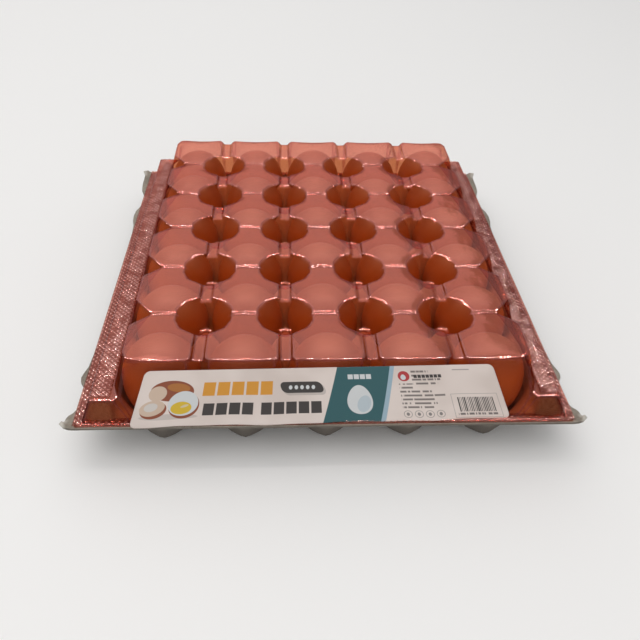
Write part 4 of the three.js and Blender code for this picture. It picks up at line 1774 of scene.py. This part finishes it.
@dataclass
class FrontLabel:
    """The label on the cover's front wall, stuck along its top, with its foot standing off the wall."""

    layout: Layout
    cover: FilmCover
    finish: LabelFinish = LabelFinish()
    thickness: float = 0.3
    gap: float = 0.55
    top_ends: Span = (-100.0, 90.5)
    foot_ends: Span = (-111.0, 105.0)
    top_z: Span = (57.6, 60.2)
    foot_z: float = 27.3
    foot_out: Span = (5.2, 1.5)
    long_wave: float = 0.5
    short_wave: float = 0.25
    deepest_wave: float = -0.4
    corner: float = 3.2
    corner_steps: int = 5
    steps_x: int = 72
    steps_y: int = 14

    def point(self, s: float, t: float) -> Vector:
        """A place on the label.

        Args:
            s: 0 at its left end to 1 at its right end.
            t: 0 at its top to 1 at its foot.

        Returns:
            The place in metres.
        """

        def mix(ends: Span, share: float) -> float:
            """A value between two ends."""
            return ends[0] + (ends[1] - ends[0]) * share

        cover = self.cover
        z = mix((mix(self.top_z, s), self.foot_z), t)
        x = mix((mix(self.top_ends, s), mix(self.foot_ends, s)), t)
        fallen = (cover.deck - z) / (cover.deck - cover.flange)
        wall_y = self.layout.front_y + mix((cover.deck_edge, cover.wall_foot_y), fallen)
        wave = self.long_wave * math.sin(s * 17.0 + 1.3) * t * t + self.short_wave * math.sin(s * 41.0) * t
        out = self.gap + mix(self.foot_out, s) * t + max(wave, self.deepest_wave)
        return Vector((x, -(wall_y + out), z)) * MM

    def rounded(self, s: float, t: float) -> Span:
        """Moves a place on a square grid inwards, so that the grid's corners become round.

        Args:
            s: 0 to 1 across.
            t: 0 to 1 down.

        Returns:
            The moved place.
        """
        finish = self.finish
        x, y = (s - 0.5) * finish.width, (t - 0.5) * finish.height
        half_x, half_y, radius = finish.width / 2, finish.height / 2, self.corner
        over_x, over_y = abs(x) - (half_x - radius), abs(y) - (half_y - radius)
        if over_x > 0 and over_y > 0:
            reach = max(over_x, over_y) / math.hypot(over_x, over_y)
            x = math.copysign(half_x - radius + over_x * reach, x)
            y = math.copysign(half_y - radius + over_y * reach, y)
        return x / finish.width + 0.5, y / finish.height + 0.5

    def line(self, steps: int, size: float) -> list[float]:
        """Shares of a side, with extra steps in its two round corners.

        Args:
            steps: Steps between the corners.
            size: The side's length in millimetres.

        Returns:
            The shares from 0 to 1.
        """
        corner = self.corner / size
        ends = [corner * step / self.corner_steps for step in range(self.corner_steps)]
        middle = [corner + (1 - 2 * corner) * step / steps for step in range(steps + 1)]
        return [*ends, *middle, *(1 - share for share in reversed(ends))]

    def build(self) -> None:
        """Makes the label."""
        across = self.line(self.steps_x, self.finish.width)
        down = self.line(self.steps_y, self.finish.height)
        flat = [self.rounded(s, t) for t in down for s in across]
        count = len(across)
        faces = [
            (row * count + i, (row + 1) * count + i, (row + 1) * count + i + 1, row * count + i + 1)
            for row in range(len(down) - 1)
            for i in range(count - 1)
        ]
        mesh = bpy.data.meshes.new("front_label")
        mesh.from_pydata([self.point(s, t) for s, t in flat], [], faces)
        layer = mesh.uv_layers.new(name="print")
        for loop in mesh.loops:
            s, t = flat[loop.vertex_index]
            layer.data[loop.index].uv = (s, 1 - t)
        mesh.materials.append(self.finish.build())
        piece = new_piece("front_label", mesh)
        thicken(piece, self.thickness)
        apply_modifiers(piece)
        hand_over(piece, "label", "label")


# --- Studio ---


@dataclass(frozen=True)
class Softbox:
    """A square lamp that faces the pack."""

    name: str
    place: Point
    size: Span
    power: float
    colour: Colour = (1.0, 0.97, 0.94)
    glints_only: bool = False

    def build(self, target: Vector) -> None:
        """Hangs the lamp.

        Args:
            target: What it faces.
        """
        lamp = bpy.data.lights.new(self.name, "AREA")
        lamp.shape = "RECTANGLE"
        lamp.size, lamp.size_y = self.size
        lamp.energy = self.power
        lamp.color = self.colour
        holder = bpy.data.objects.new(self.name, lamp)
        place = Vector(self.place)
        aim = (place - target).to_track_quat("Z", "Y").to_matrix().to_4x4()
        holder.matrix_world = Matrix.Translation(place) @ aim
        holder.visible_diffuse = not self.glints_only
        bpy.context.scene.collection.objects.link(holder)


@dataclass
class Studio:
    """The floor, the lamps, the sky and the camera."""

    target: Vector
    floor_size: float = 8.0
    floor_colour: Colour = (0.93, 0.93, 0.93)
    sky: float = 0.5
    film_faces: int = 32
    azimuth: float = -3.91
    elevation: float = 39.33
    roll: float = 2.22
    camera_place: Point = (-0.0248, -0.4108, 0.3156)
    lens: float = 38.29
    lamps: tuple[Softbox, ...] = field(default_factory=lambda: (
        Softbox("window", (-0.6, 1.9, 1.9), (3.2, 2.8), 18.0),
        Softbox("ceiling", (-0.4, -0.35, 1.7), (2.6, 2.0), 11.3),
        Softbox("front", (0.1, -1.9, 0.55), (2.4, 0.8), 5.5),
        Softbox("tube", (0.0, 0.22, 1.3), (2.6, 0.05), 34.0, glints_only=True),
    ))

    def build_floor(self) -> None:
        """Lays the pale floor."""
        half = self.floor_size / 2
        mesh = bpy.data.meshes.new("floor")
        mesh.from_pydata([(half * x, half * y, 0) for x, y in TURNS], [], [(0, 1, 2, 3)])
        material, graph = new_material("pale_floor")
        graph.surface(graph.socket("ShaderNodeBsdfPrincipled", {
            "Base Color": self.floor_colour,
            "Roughness": 0.7,
        }))
        mesh.materials.append(material)
        new_piece("floor", mesh)

    def build_sky(self) -> None:
        """Lights the room evenly."""
        world = bpy.data.worlds.new("room")
        world.use_nodes = True
        inputs = world.node_tree.nodes["Background"].inputs
        inputs["Strength"].default_value = self.sky
        inputs["Color"].default_value = (1.0, 1.0, 1.0, 1.0)
        scene = bpy.context.scene
        scene.world = world
        scene.view_settings.view_transform = "Standard"
        scene.cycles.transparent_max_bounces = self.film_faces

    def build_camera(self) -> None:
        """Sets up the camera."""
        turn, tip, roll = (math.radians(angle) for angle in (self.azimuth, self.elevation, self.roll))
        back = Vector((math.sin(turn) * math.cos(tip), -math.cos(turn) * math.cos(tip), math.sin(tip)))
        level = Vector((math.cos(turn), math.sin(turn), 0))
        upright = back.cross(level)
        right = math.cos(roll) * level + math.sin(roll) * upright
        up = math.cos(roll) * upright - math.sin(roll) * level
        data = bpy.data.cameras.new("camera")
        data.lens = self.lens
        data.sensor_width = 36.0
        data.clip_start = 0.01
        camera = bpy.data.objects.new("camera", data)
        place = Matrix((right, up, back)).transposed().to_4x4()
        place.translation = self.camera_place
        camera.matrix_world = place
        bpy.context.scene.collection.objects.link(camera)
        bpy.context.scene.camera = camera

    def build(self) -> None:
        """Sets up the whole studio."""
        self.build_camera()
        self.build_floor()
        self.build_sky()
        for lamp in self.lamps:
            lamp.build(self.target)


def main() -> None:
    """Builds the studio and the pack's pieces in order."""
    logging.basicConfig(level=logging.INFO, format="%(name)s: %(message)s")
    layout = Layout.from_frame()
    log.info("layout: %d columns, %d rows, pitch %.1f mm", layout.columns, layout.rows, layout.pitch)
    cover = FilmCover(layout)
    Studio(target=Vector((0, 0, 0.04))).build()
    PulpTray(layout).build()
    Eggs(layout).build()
    cover.build()
    FrontLabel(layout, cover).build()


if __name__ == "__main__":
    main()
